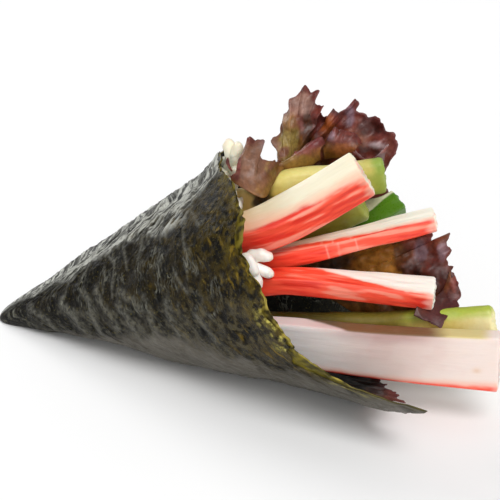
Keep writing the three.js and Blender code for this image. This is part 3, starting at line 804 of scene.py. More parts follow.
def crab_paint(form, seed, red_top, red_bottom, soft, white, root_shading, fade, end, wander=7, fibres=0.6,
               nicks=()):
    """White flesh with a streaky red skin between two angles of the section. `red_top` lists the
    upper one, as (mm along, degrees), and `nicks` the pale cuts across the skin, in mm along."""
    along, girth, to_end = form["along"], form["girth"], form["length"] - form["along"]
    turn = np.degrees(np.arctan2(form["up"], form["across"]))
    wander = wander * (fbm(along / 13, seed=seed) + fbm(along / 4, girth / 2.2, seed=seed + 1))
    upper = np.interp(along, *np.array(red_top, float).T)
    skin = smooth(form["rim"], 0.93, 0.985)
    red = smooth(turn + wander, upper + soft, upper - soft) * skin
    red = red * smooth(turn + wander, red_bottom - soft, red_bottom + soft)
    red = red * mix(0.55, 1, smooth(to_end + 1.2 * noise(girth / 1.2, seed=seed + 2), 0.0, 2.4))
    fibre = fbm(along / 8, girth / 0.8, octaves=3, seed=seed + 3)
    # The buried end's tone is painted light: shade there on three crab sticks, and on the broad stick
    # a lighter tone against the shadow of the rim.
    flesh = blend(root_shading, white, smooth(along, 26, form["length"] * 0.75))
    flesh = blend(flesh, flesh * 0.93, smooth(fibre, 0.05, 0.7) * fibres)
    streak = fbm(along / 11, (girth + along * 0.07) / 1.5, octaves=3, seed=seed + 4)
    # The deeper red towards the buried end is painted shade.
    colour = layered(
        rgb(250, 84, 56),
        (rgb(255, 158, 134), smooth(streak, 0.04, 0.5) * fade),
        (rgb(222, 36, 20), smooth(streak, -0.04, -0.5) * 0.8),
        (rgb(178, 34, 22), smooth(along, form["length"] * 0.55, 24) * 0.55),
        *[(rgb(255, 196, 178), bell(along - at - girth * 0.05, 0.22) * 0.4) for at in nicks])
    reach = soft * (4.5 + 7 * smooth(along, 44, 24))
    blush = np.clip(smooth(turn + wander, upper + reach, upper - soft), 0, 1) * skin
    blush = blush * smooth(turn, red_bottom - 20, red_bottom)
    cut = (1 - skin) * smooth(to_end, 1, 0)
    ragged = fbm(form["across"] * 2.4, form["up"] * 4, octaves=3, seed=seed + 7) - 0.25 * form["up"]
    return layered(
        flesh,
        (rgb(244, 172, 142), blush * (1 - red) * 0.8),
        (end, cut * smooth(ragged, -0.3, 0.35)),
        (colour, red))


def broad_paint(form, paint):
    """The broad stick's rose blotches, the shade along its top, and on its top face a painted shadow
    of the avocado and lettuce in dark olive, turning to the avocado's yellow further along.
    """
    t, b = form["along"] / form["length"], form["up"]
    rose = smooth(t, 0.5, 0.64) * smooth(t, 0.95, 0.7) * (0.3 + 0.7 * smooth(b, -0.9, 0.5))
    mottle = fbm(form["along"] / 7, form["girth"] / 5, octaves=3, seed=77)
    rose = rose * 0.6 + 0.2 * smooth(mottle, 0.0, 0.5) * smooth(t, 0.4, 0.6)
    paint = blend(paint, paint * np.array([0.88, 0.76, 0.76]), rose)
    shade = smooth(b + 0.08 * mottle, 0.45, 1.05) * smooth(t, 0.9, 0.76) * smooth(t, 0.44, 0.6)
    paint = blend(paint, paint * np.array([0.68, 0.54, 0.55]), shade * 0.9)
    top = smooth(b, 0.93, 0.99)
    # Painted shade on the top face, which catches the most light, towards the left.
    paint = blend(paint, paint * np.array([0.86, 0.76, 0.76]), top * smooth(t, 0.56, 0.5))
    # The painted shadow and the avocado's colour start at the back of its top and reach the front
    # further along.
    front = mix(-1.2, 1.2, np.clip((t + 0.02 * mottle - 0.42) / 0.18, 0, 1))
    beside = top * smooth(form["across"], front + 0.2, front - 0.2) * smooth(t, 0.99, 0.95)
    shadow_and_avocado = blend(rgb(74, 62, 14), rgb(112, 78, 32), smooth(t + 0.06 * mottle, 0.46, 0.62))
    shadow_and_avocado = blend(shadow_and_avocado, rgb(216, 198, 128), smooth(t + 0.02 * mottle, 0.8, 0.87))
    paint = blend(paint, shadow_and_avocado, beside * 0.92)
    spot = bell(np.hypot((form["along"] - 87.5) / 1.3, (b + 0.2) * 9), 0.8)
    return blend(paint, rgb(222, 176, 128), spot * 0.5)


def crab_relief(seed, depth):
    def bumps(along, girth):
        coarse = fbm(along / 12, girth / 1.5, octaves=2, seed=seed)
        fine = noise(along / 5, girth / 0.55, seed=seed + 5)
        swell = noise(along / 14, seed=seed + 6)
        return depth * (1.1 * coarse + 0.5 * fine + 1.7 * swell)
    return bumps


def ragged_end(seed):
    return lambda x, y: 0.6 * fbm(x / 1.1, y / 1.3, octaves=3, seed=seed) + 0.15


def build_crab():
    looks = {
        "crab_stick_top": dict(
            seed=40, red_top=[(0, 62), (40, 56), (66, 54)], red_bottom=-118, soft=8, fade=0.95,
            white=rgb(240, 232, 206), root_shading=rgb(226, 200, 158), end=rgb(252, 192, 172)),
        "crab_stick_middle": dict(
            seed=50, red_top=[(0, 120), (42, 78), (54, 58), (76, 52)], red_bottom=-125, soft=5,
            fade=0.8, white=rgb(248, 244, 228), root_shading=rgb(240, 220, 190), end=rgb(252, 208, 192),
            nicks=(46, 49, 54)),
        "crab_stick_lower": dict(
            seed=60, red_top=[(0, 160), (42, 152), (50, 112), (57, 84), (64, 64), (76, 46)],
            red_bottom=-128, soft=2.5, wander=5, fade=0.7, white=rgb(250, 245, 234),
            root_shading=rgb(240, 218, 202), end=rgb(252, 246, 238)),
        "crab_stick_broad": dict(
            seed=70, red_top=[(0, -41), (50, -42), (60, -43), (70, -42), (92, -37)],
            red_bottom=-128, soft=2.4, wander=1.5, fibres=0.1,
            fade=0.9, white=rgb(238, 221, 212), root_shading=rgb(253, 247, 244), end=rgb(238, 216, 206)),
    }
    for name, look in looks.items():
        broad = name == "crab_stick_broad"
        bumps = crab_relief(look["seed"], 0.03 if broad else 0.13)
        form = sweep(FILLINGS[name], 190, 96, radius=0.55, relief_of=bumps,
                     end_relief=ragged_end(look["seed"] + 9))
        paint = crab_paint(form, **look)
        if broad:
            paint = broad_paint(form, paint)
        grain = np.stack([form["along"], form["girth"], 0 * form["along"]], axis=1)
        make_piece(name + "_flesh", form["points"], form["faces"], "crab_stick",
                   name, paint=paint, fields={"grain": grain})


def build_avocado():
    """Yellow flesh that turns green at the skin side, with painted shade: olive and dark where it lies
    in shadow, and a painted highlight on the top slice's top face.
    """
    shadow_olive, olive, green = rgb(92, 80, 26), rgb(142, 138, 48), rgb(152, 166, 62)

    def top(t, b, mottle):
        return layered(
            rgb(232, 208, 132),
            # Painted shadow of the lettuce lobe: a dark band across the slice.
            (rgb(62, 46, 12), smooth(t + 0.02 * mottle, 0.35, 0.375)),
            (rgb(214, 190, 92), smooth(t + 0.03 * mottle, 0.42, 0.48)),
            (rgb(226, 212, 122), smooth(b + 0.3 * mottle, -0.5, 0.5) * smooth(t, 0.44, 0.56)),
            # The pale top face is a painted highlight.
            (rgb(238, 230, 164), smooth(b, 0.6, 0.95) * smooth(t, 0.5, 0.85) * 0.8),
            (rgb(190, 182, 84), smooth(t + 0.06 * mottle, 0.86, 0.97) * 0.8),
            (rgb(124, 158, 44), smooth(t + 0.03 * mottle, 0.955, 0.995) * 0.8),
            (green, smooth(t + 0.05 * mottle, 0.88, 0.98) * smooth(b, 0.7, 0.2)))

    def middle(t, b, mottle):
        # Painted shade: dark at the buried end and olive along the slice, which lies in shadow below
        # the crab stick.
        return layered(
            shadow_olive,
            (olive, smooth(t, 0.35, 0.85)),
            (rgb(128, 118, 38), smooth(mottle, -0.1, 0.5) * 0.6),
            (rgb(160, 168, 74), smooth(t + 0.04 * mottle, 0.88, 0.98) * 0.8))

    def lower(t, b, mottle):
        unshaded_flesh = layered(
            rgb(222, 204, 116),
            (rgb(238, 228, 174), smooth(t + 0.03 * mottle, 0.88, 0.98)),
            (rgb(172, 186, 66), smooth(b + 0.1 * mottle, 0.5, 0.95)))
        # Painted shade: dark and brownish olive towards the buried end, where the slice lies in
        # shadow.
        return layered(
            shadow_olive,
            (rgb(152, 116, 66), smooth(t, 0.4, 0.62) * smooth(b, 0.7, 0.1)),
            (rgb(130, 116, 40), smooth(t, 0.42, 0.6) * smooth(b, 0.3, 0.8)),
            (unshaded_flesh, smooth(t + 0.03 * mottle, 0.7, 0.82)))

    for k, (name, tone) in enumerate(dict(top=top, middle=middle, lower=lower).items()):
        def bumps(along, girth):
            broken = 1.6 * bell(along - 21.8, 2.2) if name == "top" else 0
            return (0.25 * noise(along / 9, girth / 6, seed=80 + k)
                    + 0.06 * noise(along / 1.7, girth / 1.7, seed=84 + k) - broken)

        node = "avocado_" + name
        form = sweep(FILLINGS[node], 120, 72, radius=0.9, relief_of=bumps,
                     end_relief=ragged_end(88 + k), end_soft=1.1)
        mottle = fbm(form["along"] / 5, form["girth"] / 3.5, seed=90 + k)
        paint = tone(form["along"] / form["length"], form["up"], mottle)
        make_piece(node + "_flesh", form["points"], form["faces"], "avocado", node,
                   paint=paint)


def build_cucumber():
    """Pale flesh with a glossy green skin on its near side and lower edge."""
    def bumps(along, girth):
        return 0.1 * noise(along / 4, girth / 2.2, seed=95)

    form = sweep(FILLINGS["cucumber_stick"], 120, 80, radius=0.35, relief_of=bumps,
                 end_relief=ragged_end(96), end_soft=0.35,
                 widen=lambda t: 5.0 * smooth(t, 0.97, 0.72), slant=(0.02, -0.34, 0.11))
    t = form["along"] / form["length"]
    stripe = fbm(form["along"] / 14, form["girth"] / 0.8, octaves=2, seed=97)
    # Painted shade: the skin darker towards the buried end.
    green = blend(rgb(46, 70, 12), rgb(80, 126, 26), smooth(t, 0.62, 0.97))
    green = blend(green, rgb(112, 156, 46), smooth(stripe, 0.1, 0.7) * 0.35)
    cloud = smooth(noise(form["along"] / 3, seed=98), -1, 1)
    flesh = blend(rgb(214, 216, 178), rgb(232, 226, 208), cloud)
    turn = np.degrees(np.arctan2(form["up"], form["across"]))
    upper = mix(108, 126, smooth(t, 0.8, 0.99))
    skin = smooth(turn, upper, upper - 4) * smooth(turn, -60, -54)
    skin = skin * np.maximum(smooth(form["rim"], 0.95, 0.99), smooth(form["across"], -0.9, -0.5))
    paint = blend(flesh, green, skin)
    make_piece("cucumber_baton", form["points"], form["faces"], "cucumber",
               "cucumber_stick", paint=paint)


# ---- Lettuce ----

# Each leaf colour's middle, dark and pale tone.
BURGUNDY = [rgb(138, 62, 50), rgb(96, 36, 28), rgb(168, 100, 86)]
OLIVE = [rgb(152, 100, 44), rgb(116, 74, 24), rgb(174, 140, 74)]
LEAF_THICKNESS = 0.42

# A leaf is one or more fans, in mm. A fan runs from its `foot`, (index of the edge point that
# belongs to it, x, y, z), to its `edge`, (x, y, z). `waves` are ruffles, (how many, height, how
# steeply they grow towards the edge), and stand out along `out`, as `belly` does. `bowls` are
# hollows, (x, z, radius, depth), and `daubs` patches of another colour, (x, z, radius along x,
# radius along z, colour, strength).
TOP_LEAF = dict(
    foot=[
        (0, 75.6, -13.6, 57.9), (2, 76, -14.4, 57), (6, 80, -16.4, 55.6), (8, 83.5, -16.4, 53.9),
        (9, 85.2, -15.5, 53.3), (10, 85.8, -9.5, 54.4), (13, 86.6, -5, 56.2), (15, 87.4, -1, 56.6),
        (20, 88, 4, 56), (26, 88, 8, 52), (31, 86, 8.5, 50), (36, 83, 11, 44), (42, 79, 13, 38),
        (48, 76.5, 15.5, 32), (52, 77, 17, 29), (56, 82, 18, 25),
    ],
    edge=[
        (78, -12.8, 58.9), (79.4, -11.4, 60.5), (79.4, -10.2, 62.4), (78.8, -9.3, 63.9),
        (78.6, -8.4, 66.1), (79.4, -8, 67.9), (80.7, -7.6, 66.7), (82.9, -7.2, 66.2),
        (82.3, -6.8, 63.4), (83.7, -6.4, 61.1), (85.4, -5.5, 60.2), (86.1, -2.5, 58.8), (86, 2, 58),
        (85.2, 5, 57.4), (84.2, 6, 59.2), (84.9, 7, 60.1), (82.5, 7, 61.8), (84.1, 8, 63),
        (84, 9, 65.9), (84.1, 10, 68.5), (86.4, 11, 69.9), (86.9, 11, 71.4), (85.8, 11.5, 72.3),
        (87.9, 12.5, 73.5), (88.7, 13, 74.5), (89.9, 13.5, 76), (90.9, 13.5, 74.7),
        (91.4, 13.2, 73.7), (93.5, 13, 74.3), (92.5, 12.5, 72.2), (93, 12, 71.2),
        (95.6, 10.5, 71.4), (93.7, 11.5, 69.5), (94.1, 14, 67.4), (95.4, 15.2, 66.9),
        (97, 15.4, 67.2), (97.6, 15, 69.1), (99.4, 15, 68.4), (101, 15.2, 69.3),
        (102.5, 15.4, 70.3), (102.6, 15.8, 71.9), (104, 15.6, 70.9), (103.3, 15.2, 68.9),
        (105.7, 15, 68.4), (107.4, 15, 67.3), (109, 15, 67.8), (110.8, 14.6, 66),
        (112.3, 14.2, 64.2), (114.3, 14, 63.1), (115.4, 13.6, 61.6), (115.5, 13, 58.4),
        (114.2, 12.6, 55.6), (113, 12.2, 53.2), (113.1, 12, 49.4), (114.4, 11.6, 45.8),
        (111.7, 10.5, 44.1), (108, 11, 41),
    ],
    out=(-0.15, -0.95, 0.2), belly=1.2, rows=62, columns=560, seed=100,
    waves=[(5, 1.7, 1.2), (11, 0.9, 2.8), (27, 0.35, 6)], blister=0.9,
    bowls=[
        (108.2, 64.6, 4.4, 4.2), (92.8, 65.5, 1.9, 2.6), (102, 58, 3, 2), (88.4, 67, 3.2, -1.6),
        (110, 60, 2.4, -2.2), (82, 60, 3.5, -1),
    ],
    daubs=[
        # Painted light among the daubs: the light through the thin spire at (89, 71), shade in the
        # fold beside it at (91.4, 65) and in the right lobe's hollow at (107.4, 64.6), a highlight on
        # the lip at (110, 59.8) and a sheen at (101.9, 67.4).
        (80.5, 60.5, 5.5, 6, (148, 104, 80), 0.95), (78, 61.5, 0.9, 4, (120, 52, 52), 0.8),
        (76.8, 57.9, 1.5, 0.9, (112, 48, 46), 0.7), (87, 61.8, 2.6, 4.6, (160, 136, 68), 0.9),
        (86.4, 66.5, 2.6, 2.6, (170, 126, 76), 0.8), (89, 71, 4, 3.4, (174, 132, 116), 0.9),
        (86.2, 59.4, 1.4, 1.4, (122, 68, 62), 0.8), (91.4, 65, 1.1, 5, (74, 40, 18), 0.85),
        (93.6, 65, 1.4, 3.4, (108, 46, 42), 0.7), (96.5, 64.4, 2.2, 3.4, (162, 82, 30), 0.9),
        (104, 61, 4.4, 2.6, (156, 80, 36), 0.85), (107.4, 64.6, 4.6, 3.5, (74, 25, 17), 0.93),
        (110, 59.8, 2.6, 1, (196, 174, 176), 0.8), (101.9, 67.4, 1.1, 3, (152, 122, 136), 0.75),
        (114, 59, 1.6, 5, (142, 74, 58), 0.7), (112.4, 49, 2.6, 5, (100, 52, 36), 0.8),
    ],
)
# A rolled lip in front of the spire.
SPIRE_LIP = dict(
    foot=[(0, 86.6, 0.2, 53.6), (3, 92, 1.6, 55.4), (6, 96.4, 3.4, 58.4)],
    edge=[
        (85.4, 0, 57.8), (87.8, 1, 58.8), (89.9, 1.8, 60.5), (91.8, 2.4, 62.2), (93.9, 3.2, 64),
        (96.2, 4, 64.6), (97.6, 4.6, 62.6),
    ],
    out=(-0.1, -0.8, 0.55), belly=2.4, rows=36, columns=130, seed=110,
    waves=[(2.2, 0.8, 1.5), (6, 0.3, 3)], blister=0.5, red=0.2,
    daubs=[(91, 57.4, 5, 1.8, (150, 116, 50), 0.8), (95, 62.6, 3, 2, (128, 50, 52), 0.8)],
)
# The ruffle between the two lobes.
LOBE_RUFFLE = dict(
    foot=[(0, 97, 6.5, 57.4), (3, 101, 7, 58), (6, 105, 8, 58.6)],
    edge=[
        (97.4, 8.6, 62), (98.3, 8.2, 64.8), (99.8, 8, 65.8), (101.8, 8.4, 65.6), (103.6, 9, 64.6),
        (105.2, 9.6, 63.6), (106.6, 10, 61.4),
    ],
    out=(-0.1, -0.85, 0.5), belly=2.2, rows=36, columns=130, seed=120,
    waves=[(1.6, 0.9, 1.4), (5, 0.3, 3)], blister=0.5, red=0.45,
    # The first daub is a painted highlight.
    daubs=[(98.6, 63.8, 1.2, 1.8, (146, 112, 124), 0.8), (102.5, 60, 4, 1.6, (150, 86, 42), 0.8)],
)
# The curled lip below the hollow of the right lobe, pale with a painted highlight.
HOLLOW_LIP = dict(
    foot=[(0, 104.4, 7.4, 57), (3, 109, 7.6, 55.4), (6, 113, 9, 56.6)],
    edge=[
        (104.6, 8.6, 60.2), (106.2, 7.6, 59.2), (107.8, 7.2, 58.2), (109.6, 7.2, 58),
        (111.4, 7.8, 59), (112.8, 8.8, 60.6), (114, 10.4, 62),
    ],
    out=(0, -0.6, 0.8), belly=1.6, rows=34, columns=120, seed=130,
    waves=[(2, 0.5, 1.4), (6, 0.25, 3)], blister=0.4, red=0.9, pale=0.6,
)
# A shred that curls over the rice beside the rim.
RIM_SHRED = dict(
    foot=[(0, 74.9, -8.4, 57), (2, 74.4, -8.6, 57.6)],
    edge=[(73.6, -9.2, 58.6), (73, -8.8, 60.2), (73.6, -8.4, 61.2)], out=(-0.2, -0.9, 0.3),
    belly=0.3, rows=14, columns=40, seed=135, waves=[(1, 0.15, 1.4)], blister=0.1, red=1.0,
)
MIDDLE_LEAF = dict(
    foot=[
        (0, 90, -1.8, 31), (2, 89, -2.2, 28), (4, 91, -3.2, 25), (6, 96, -5, 23),
        (8, 103, -7.6, 21.5), (10, 111, -10.6, 19.4), (12, 122, -12.2, 20), (14, 131.5, -13, 23),
    ],
    edge=[
        (108.7, -3.4, 34.7), (114, -4.2, 36.4), (120.3, -4.5, 37.8), (123.6, -5, 41.6),
        (126.1, -6, 43), (128.6, -8, 44.8), (130.9, -9, 41.8), (133, -10, 45.4),
        (133.7, -10.5, 42.9), (134.5, -11.5, 39.4), (135.5, -12.5, 35.9), (137.1, -13.5, 33.1),
        (138.2, -14.5, 30.7), (137.4, -14.5, 28), (135, -14, 25.6),
    ],
    out=(-0.1, -0.9, 0.4), belly=0.5, rows=90, columns=300, seed=140,
    waves=[(3, 1.1, 2), (7, 0.8, 3), (15, 0.4, 6)], blister=0.9, red_from=0.62, ragged=2.0,
    bowls=[(126, 39.5, 2.2, 1.8), (131.5, 41, 1.8, -1.2), (128.5, 35.4, 2.6, -1.2)],
    # Painted light among the daubs: shade below the sticks at (104, 26), (101, 33) and (120, 28), and
    # a sheen at (126.6, 39.6) and (132.8, 41).
    daubs=[
        (116, 35, 9, 4.8, (188, 130, 48), 0.95), (104, 26, 12, 5, (46, 28, 18), 0.85),
        (101, 33, 6, 4, (34, 32, 28), 0.8), (120, 28, 9, 4, (44, 26, 18), 0.8),
        (122, 36.5, 3, 4, (84, 44, 30), 0.8), (127.6, 37, 5.4, 6, (96, 42, 36), 0.8),
        (124.8, 33, 3, 4, (66, 28, 22), 0.8), (126.6, 39.6, 2, 3, (150, 120, 128), 0.85),
        (132.8, 41, 1.4, 3, (150, 122, 130), 0.85), (133, 33, 4, 4.5, (80, 32, 28), 0.85),
        (135.2, 30, 2, 1.4, (128, 92, 96), 0.5),
    ],
)
# The middle leaf's flap, folded forward below the sticks' ends.
MIDDLE_FLAP = dict(
    foot=[(0, 135, -12.4, 36), (4, 133.5, -14, 31), (8, 128, -23, 29.8)],
    edge=[
        (136.4, -12.8, 35), (137.8, -14, 32.4), (138.6, -15, 30.4), (137.3, -17, 29.4),
        (138.1, -18.5, 28.7), (136.5, -21, 27.8), (135.7, -23, 26.9), (134.6, -24.2, 25.5),
        (131.7, -24.2, 26.3), (127.5, -24, 28),
    ],
    out=(-0.2, -0.7, -0.5), belly=1.2, rows=50, columns=120, seed=145,
    waves=[(2.4, 0.7, 1.6), (6, 0.3, 3)], blister=0.4, red=0.5,
    daubs=[(133, 28, 8, 5, (80, 32, 32), 0.9)],
)
BOTTOM_LEAF = dict(
    foot=[(0, 84, -8, 4.5), (2, 84, -15, 5.2), (4, 86, -22, 6.5), (7, 88, -29, 9)],
    edge=[
        (117, -14, 6), (118.2, -20, 7.4), (118.9, -24, 8), (120.2, -26, 7.4), (122.2, -29, 7.5),
        (124.2, -31.5, 8), (126.1, -34, 8.4), (127.4, -37.3, 9),
    ],
    out=(0, -0.2, 1), belly=0.3, rows=60, columns=150, seed=150, waves=[(3, 0.6, 2), (9, 0.35, 3)],
    blister=0.3, red_from=0.6, ragged=1.8,
    # The first two daubs are painted shade below the broad crab stick.
    daubs=[
        (106, 7, 18, 6, (15, 11, 8), 1.0), (120, 7, 3, 2, (48, 22, 20), 0.8),
        (125, 8, 3, 2, (104, 46, 42), 0.8),
    ],
)
LEAVES = {
    "lettuce_top": [TOP_LEAF, SPIRE_LIP, LOBE_RUFFLE, HOLLOW_LIP, RIM_SHRED],
    "lettuce_middle": [MIDDLE_LEAF, MIDDLE_FLAP],
    "lettuce_bottom": [BOTTOM_LEAF],
}


def sheet_faces(rows, columns, start, turned):
    i, j = np.meshgrid(np.arange(rows - 1), np.arange(columns - 1), indexing="ij")
    a = start + i * columns + j
    quads = np.stack([a, a + columns, a + columns + 1, a + 1], axis=-1).reshape(-1, 4)
    return (quads[:, ::-1] if turned else quads).tolist()


def border_faces(rows, columns, offset):
    top = list(range(columns))
    right = [i * columns + columns - 1 for i in range(1, rows)]
    bottom = [(rows - 1) * columns + j for j in range(columns - 2, -1, -1)]
    left = [i * columns for i in range(rows - 2, 0, -1)]
    loop = top + right + bottom + left
    return [[a, b, b + offset, a + offset] for a, b in zip(loop, loop[1:] + loop[:1])]


def leaf_grid(foot, edge, rows, columns, seed, ragged):
    """The flat fan between the foot and the toothed edge, and how long it is at each column."""
    v, u = np.meshgrid(np.linspace(0, 1, rows), np.linspace(0, 1, columns), indexing="ij")
    keys = np.array([f[0] for f in foot]) / (len(edge) - 1)
    foot_line = np.array([f[1:] for f in foot], float)
    bent = np.interp(u[0], keys, np.arange(len(keys)) / (len(keys) - 1))
    foot_at = catmull(foot_line, bent)
    edge_at = catmull(edge, u[0])
    reach = np.linalg.norm(edge_at - foot_at, axis=1)
    run = np.cumsum(np.linalg.norm(np.diff(edge_at, axis=0, prepend=edge_at[:1]), axis=1))
    teeth = 0.45 * noise(run / 2.2, seed=seed) + 0.35 * noise(run / 0.9, seed=seed + 1)
    ruffle = (ragged * teeth * smooth(reach, 1, 6))[None] * smooth(v, 0.7, 1.0)
    grid = foot_at[None] + (edge_at - foot_at)[None] * v[..., None]
    return grid + unit(edge_at - foot_at)[None] * ruffle[..., None], u, v, reach, run


def mottled(colours, tone, amount, pale_from):
    middle, shadow_olive, pale = colours
    return blend(blend(shadow_olive, middle, tone), pale, smooth(amount, pale_from, 0.7) * 0.6)


def leaf_paint(x, z, u, v, reach, columns, seed, red, red_from, pale, daubs):
    """Olive at the foot and wine red towards the edge, with veins, daubs and a red margin. Some daubs
    are painted shade or painted highlight, and `pale` is a painted highlight towards the edge.
    """
    amount = fbm(x / 5, z / 5, seed=seed + 4)
    away = v * np.minimum(1, reach / 14)[None] + red
    crimson = smooth(away + 0.35 * amount, red_from, red_from + 0.45)
    tone = smooth(fbm(x / 2.3, z / 2.3, seed=seed + 5), -0.5, 0.5)
    paint = blend(mottled(OLIVE, tone, amount, 0.15), mottled(BURGUNDY, tone, amount, 0.2), crimson)
    for n, (at_x, at_z, wide, high, colour, strength) in enumerate(daubs):
        far = np.hypot((x - at_x) / wide, (z - at_z) / high)
        far = far + 0.3 * fbm(x / 1.6, z / 1.6, seed=seed + 20 + n)
        daub = rgb(*colour) * (0.86 + 0.28 * tone)[..., None]
        paint = blend(paint, daub, smooth(far, 1.25, 0.55) * strength)
    margin = smooth(v, 0.93, 1.0) * smooth(reach, 1, 6)[None]
    paint = blend(paint, rgb(112, 48, 50), margin * (0.25 + 0.4 * tone))
    veins = ridges(u * columns / 40 + 0.5 * noise(v * 3, u * 9, seed=seed + 6), v * 0.8,
                   octaves=2, seed=seed + 7, sharp=5)
    paint = blend(paint, paint * 1.35, veins * 0.5 * smooth(v, 1.05, 0.3))
    # A painted highlight, `pale`, towards the edge.
    return blend(paint, rgb(186, 166, 168), pale * smooth(v, 0.55, 0.95)).reshape(-1, 3)


def leaf_sheet(foot, edge, out, belly, rows, columns, seed, waves, blister, red=0.0, pale=0.0,
               red_from=0.3, ragged=1.0, bowls=(), daubs=()):
    grid, u, v, reach, run = leaf_grid(foot, edge, rows, columns, seed, ragged)
    side = unit(np.array(out))
    grow = np.minimum(1, reach / 8)[None]
    lift = belly * np.sin(math.pi * v)
    drift = noise(u * 7, v * 2.2, seed=seed + 8)
    for count, height, power in waves:
        phase = 2 * math.pi * (count * u + 0.35 * drift + 0.2 * v) + 1.5 * np.sin(9 * u + seed)
        swell = 0.5 + 0.7 * noise(u * count * 0.9, v * 1.5, seed=seed + 9)
        lift = lift + height * swell * v**power * np.sin(phase) * grow
    x, z = grid[..., 0], grid[..., 2]
    for at_x, at_z, radius, depth in bowls:
        lift = lift - depth * bell(np.hypot(x - at_x, z - at_z), radius) * smooth(v, 0, 0.3)
    lumps = fbm(x / 3.4, z / 3.4, grid[..., 1] / 3.4, octaves=2, gain=0.4, seed=seed + 2)
    lift = lift + blister * 1.5 * lumps * smooth(v, 0, 0.3) * grow
    grid = grid + lift[..., None] * side
    # The edge itself curls back a little.
    curl = smooth(v, 0.86, 1.0) * noise(run[None] / 3.0, seed=seed + 3) * grow
    grid = grid + (curl * 0.8)[..., None] * side
    normal = unit(np.cross(np.gradient(grid, axis=0), np.gradient(grid, axis=1)))
    half = LEAF_THICKNESS * mix(1.0, 0.55, smooth(v, 0.6, 1.0))[..., None] / 2
    count = rows * columns
    faces = sheet_faces(rows, columns, 0, False) + sheet_faces(rows, columns, count, True)
    faces += border_faces(rows, columns, count)
    paint = leaf_paint(x, z, u, v, reach, columns, seed, red, red_from, pale, daubs)
    points = np.concatenate([(grid + normal * half).reshape(-1, 3),
                             (grid - normal * half).reshape(-1, 3)])
    # The second face's paint is a darker copy, as painted shade.
    return points, faces, np.concatenate([paint, paint * 0.8])


def build_lettuce():
    for node, sheets in LEAVES.items():
        points, faces, paint, total = [], [], [], 0
        for spec in sheets:
            p, f, c = leaf_sheet(**spec)
            points.append(p)
            paint.append(c)
            faces += (np.array(f) + total).tolist()
            total += len(p)
        make_piece(node + "_leaf", np.concatenate(points), faces, "lettuce",
                   node, paint=np.concatenate(paint))


# ---- Rice ----

RICE_MIDDLE = (84.0, 4.0)  # how far the middle of its face lies along the cone's axis, and above it
RICE_INSET = WALL + 1.0
GRAIN_LENGTH, GRAIN_WIDTH = 6.8, 3.0
GRAIN_GAP = 2.35
GRAIN_TRIES = 7000
GRAIN_ROOM, SHEET_ROOM = 0.25, 0.9  # what a grain leaves free to a solid, and more to the sheet
SEARCH_REACH, DEEPEST = 8.0, 6.0  # how far off a solid is looked for, and how deep in it
CORE_AROUND = 120

# The grains at the rim that the photo shows singly: where each lies, and which way it points.
SHOWN_GRAINS = [
    ((87, -27.6, 42), (1, 0.1, -0.05)), ((87.6, -28.6, 38.4), (1, 0, -0.3)),
    ((86.4, -31.2, 37), (0.4, 0.1, -0.9)), ((85.2, -31.5, 41), (0.5, -0.3, -0.8)),
    ((71, -1.5, 56.9), (0.8, -0.5, 0.3)), ((73, -3.6, 57), (0.7, -0.5, 0.5)),
    ((75.2, -6.4, 56.4), (0.3, -0.8, 0.3)), ((74.3, -5, 58.5), (0.3, -0.4, 0.7)),
    ((73, -4, 61), (-0.25, 0.1, 1)), ((75.2, -5.5, 61.4), (0.15, -0.1, 1)),
]


def rice_edge(degrees):
    """How far the rice reaches along the sheet. It lies deeper behind the near rim, and most so
    below the lower crab stick."""
    edge = round_table(RICE_EDGE, degrees)
    return edge - 11 * bell(degrees - 94, 15) - 4 * bell(degrees - 122, 18)


def rice_face(degrees, share, sink):
    """A point of the rice's mouth, at a share of the way from its middle to the sheet, `sink` mm
    below its surface. It is hollow below the fillings."""
    wall = wrap_point(degrees, rice_edge(degrees), RICE_INSET, RICE_LIFT)
    swell = 0.9 * np.sin(np.radians(degrees * 5) + share * 9) * np.sin(math.pi * share)
    turn = np.mod(degrees + 90, 360) - 90
    hollow = smooth(turn, -50, -5) * smooth(turn, 125, 100)
    swell = swell - 6.5 * hollow * smooth(share, 0.05, 0.35) * smooth(share, 1.0, 0.75)
    axis = np.array([math.cos(AXIS_TILT), 0, math.sin(AXIS_TILT)])
    middle = axis * RICE_MIDDLE[0] + np.array([0, 0, RICE_MIDDLE[1]])
    share = np.asarray(share)[..., None]
    return mix(middle, wall, share) + (swell - sink)[..., None] * axis


def grain_mesh(around=12, rings=9):
    """A plump grain along +X, 1 long and 1 wide, with a nick at its germ end."""
    t = np.linspace(0, math.pi, rings + 2)[1:-1]
    angle = np.arange(around) * 2 * math.pi / around
    x = -np.cos(t) / 2
    r = np.sin(t) ** 0.8 / 2
    ring = np.stack([np.repeat(x, around).reshape(rings, around),
                     r[:, None] * np.cos(angle)[None], r[:, None] * np.sin(angle)[None]], axis=-1)
    nick = bell(ring[..., 0] - 0.42, 0.12) * bell(ring[..., 1] - 0.3, 0.2)
    ring[..., 0] -= 0.07 * nick
    points = np.concatenate([ring.reshape(-1, 3), [[-0.5, 0, 0], [0.47, 0, 0]]])
    return points, tube_faces(rings, around)


def turned_to(direction, spin):
    x = unit(direction)
    side = unit(np.cross(x, [0.3, 0.2, 1.0]))
    other = np.cross(x, side)
    return np.stack([x, side * math.cos(spin) + other * math.sin(spin),
                     other * math.cos(spin) - side * math.sin(spin)], axis=0)


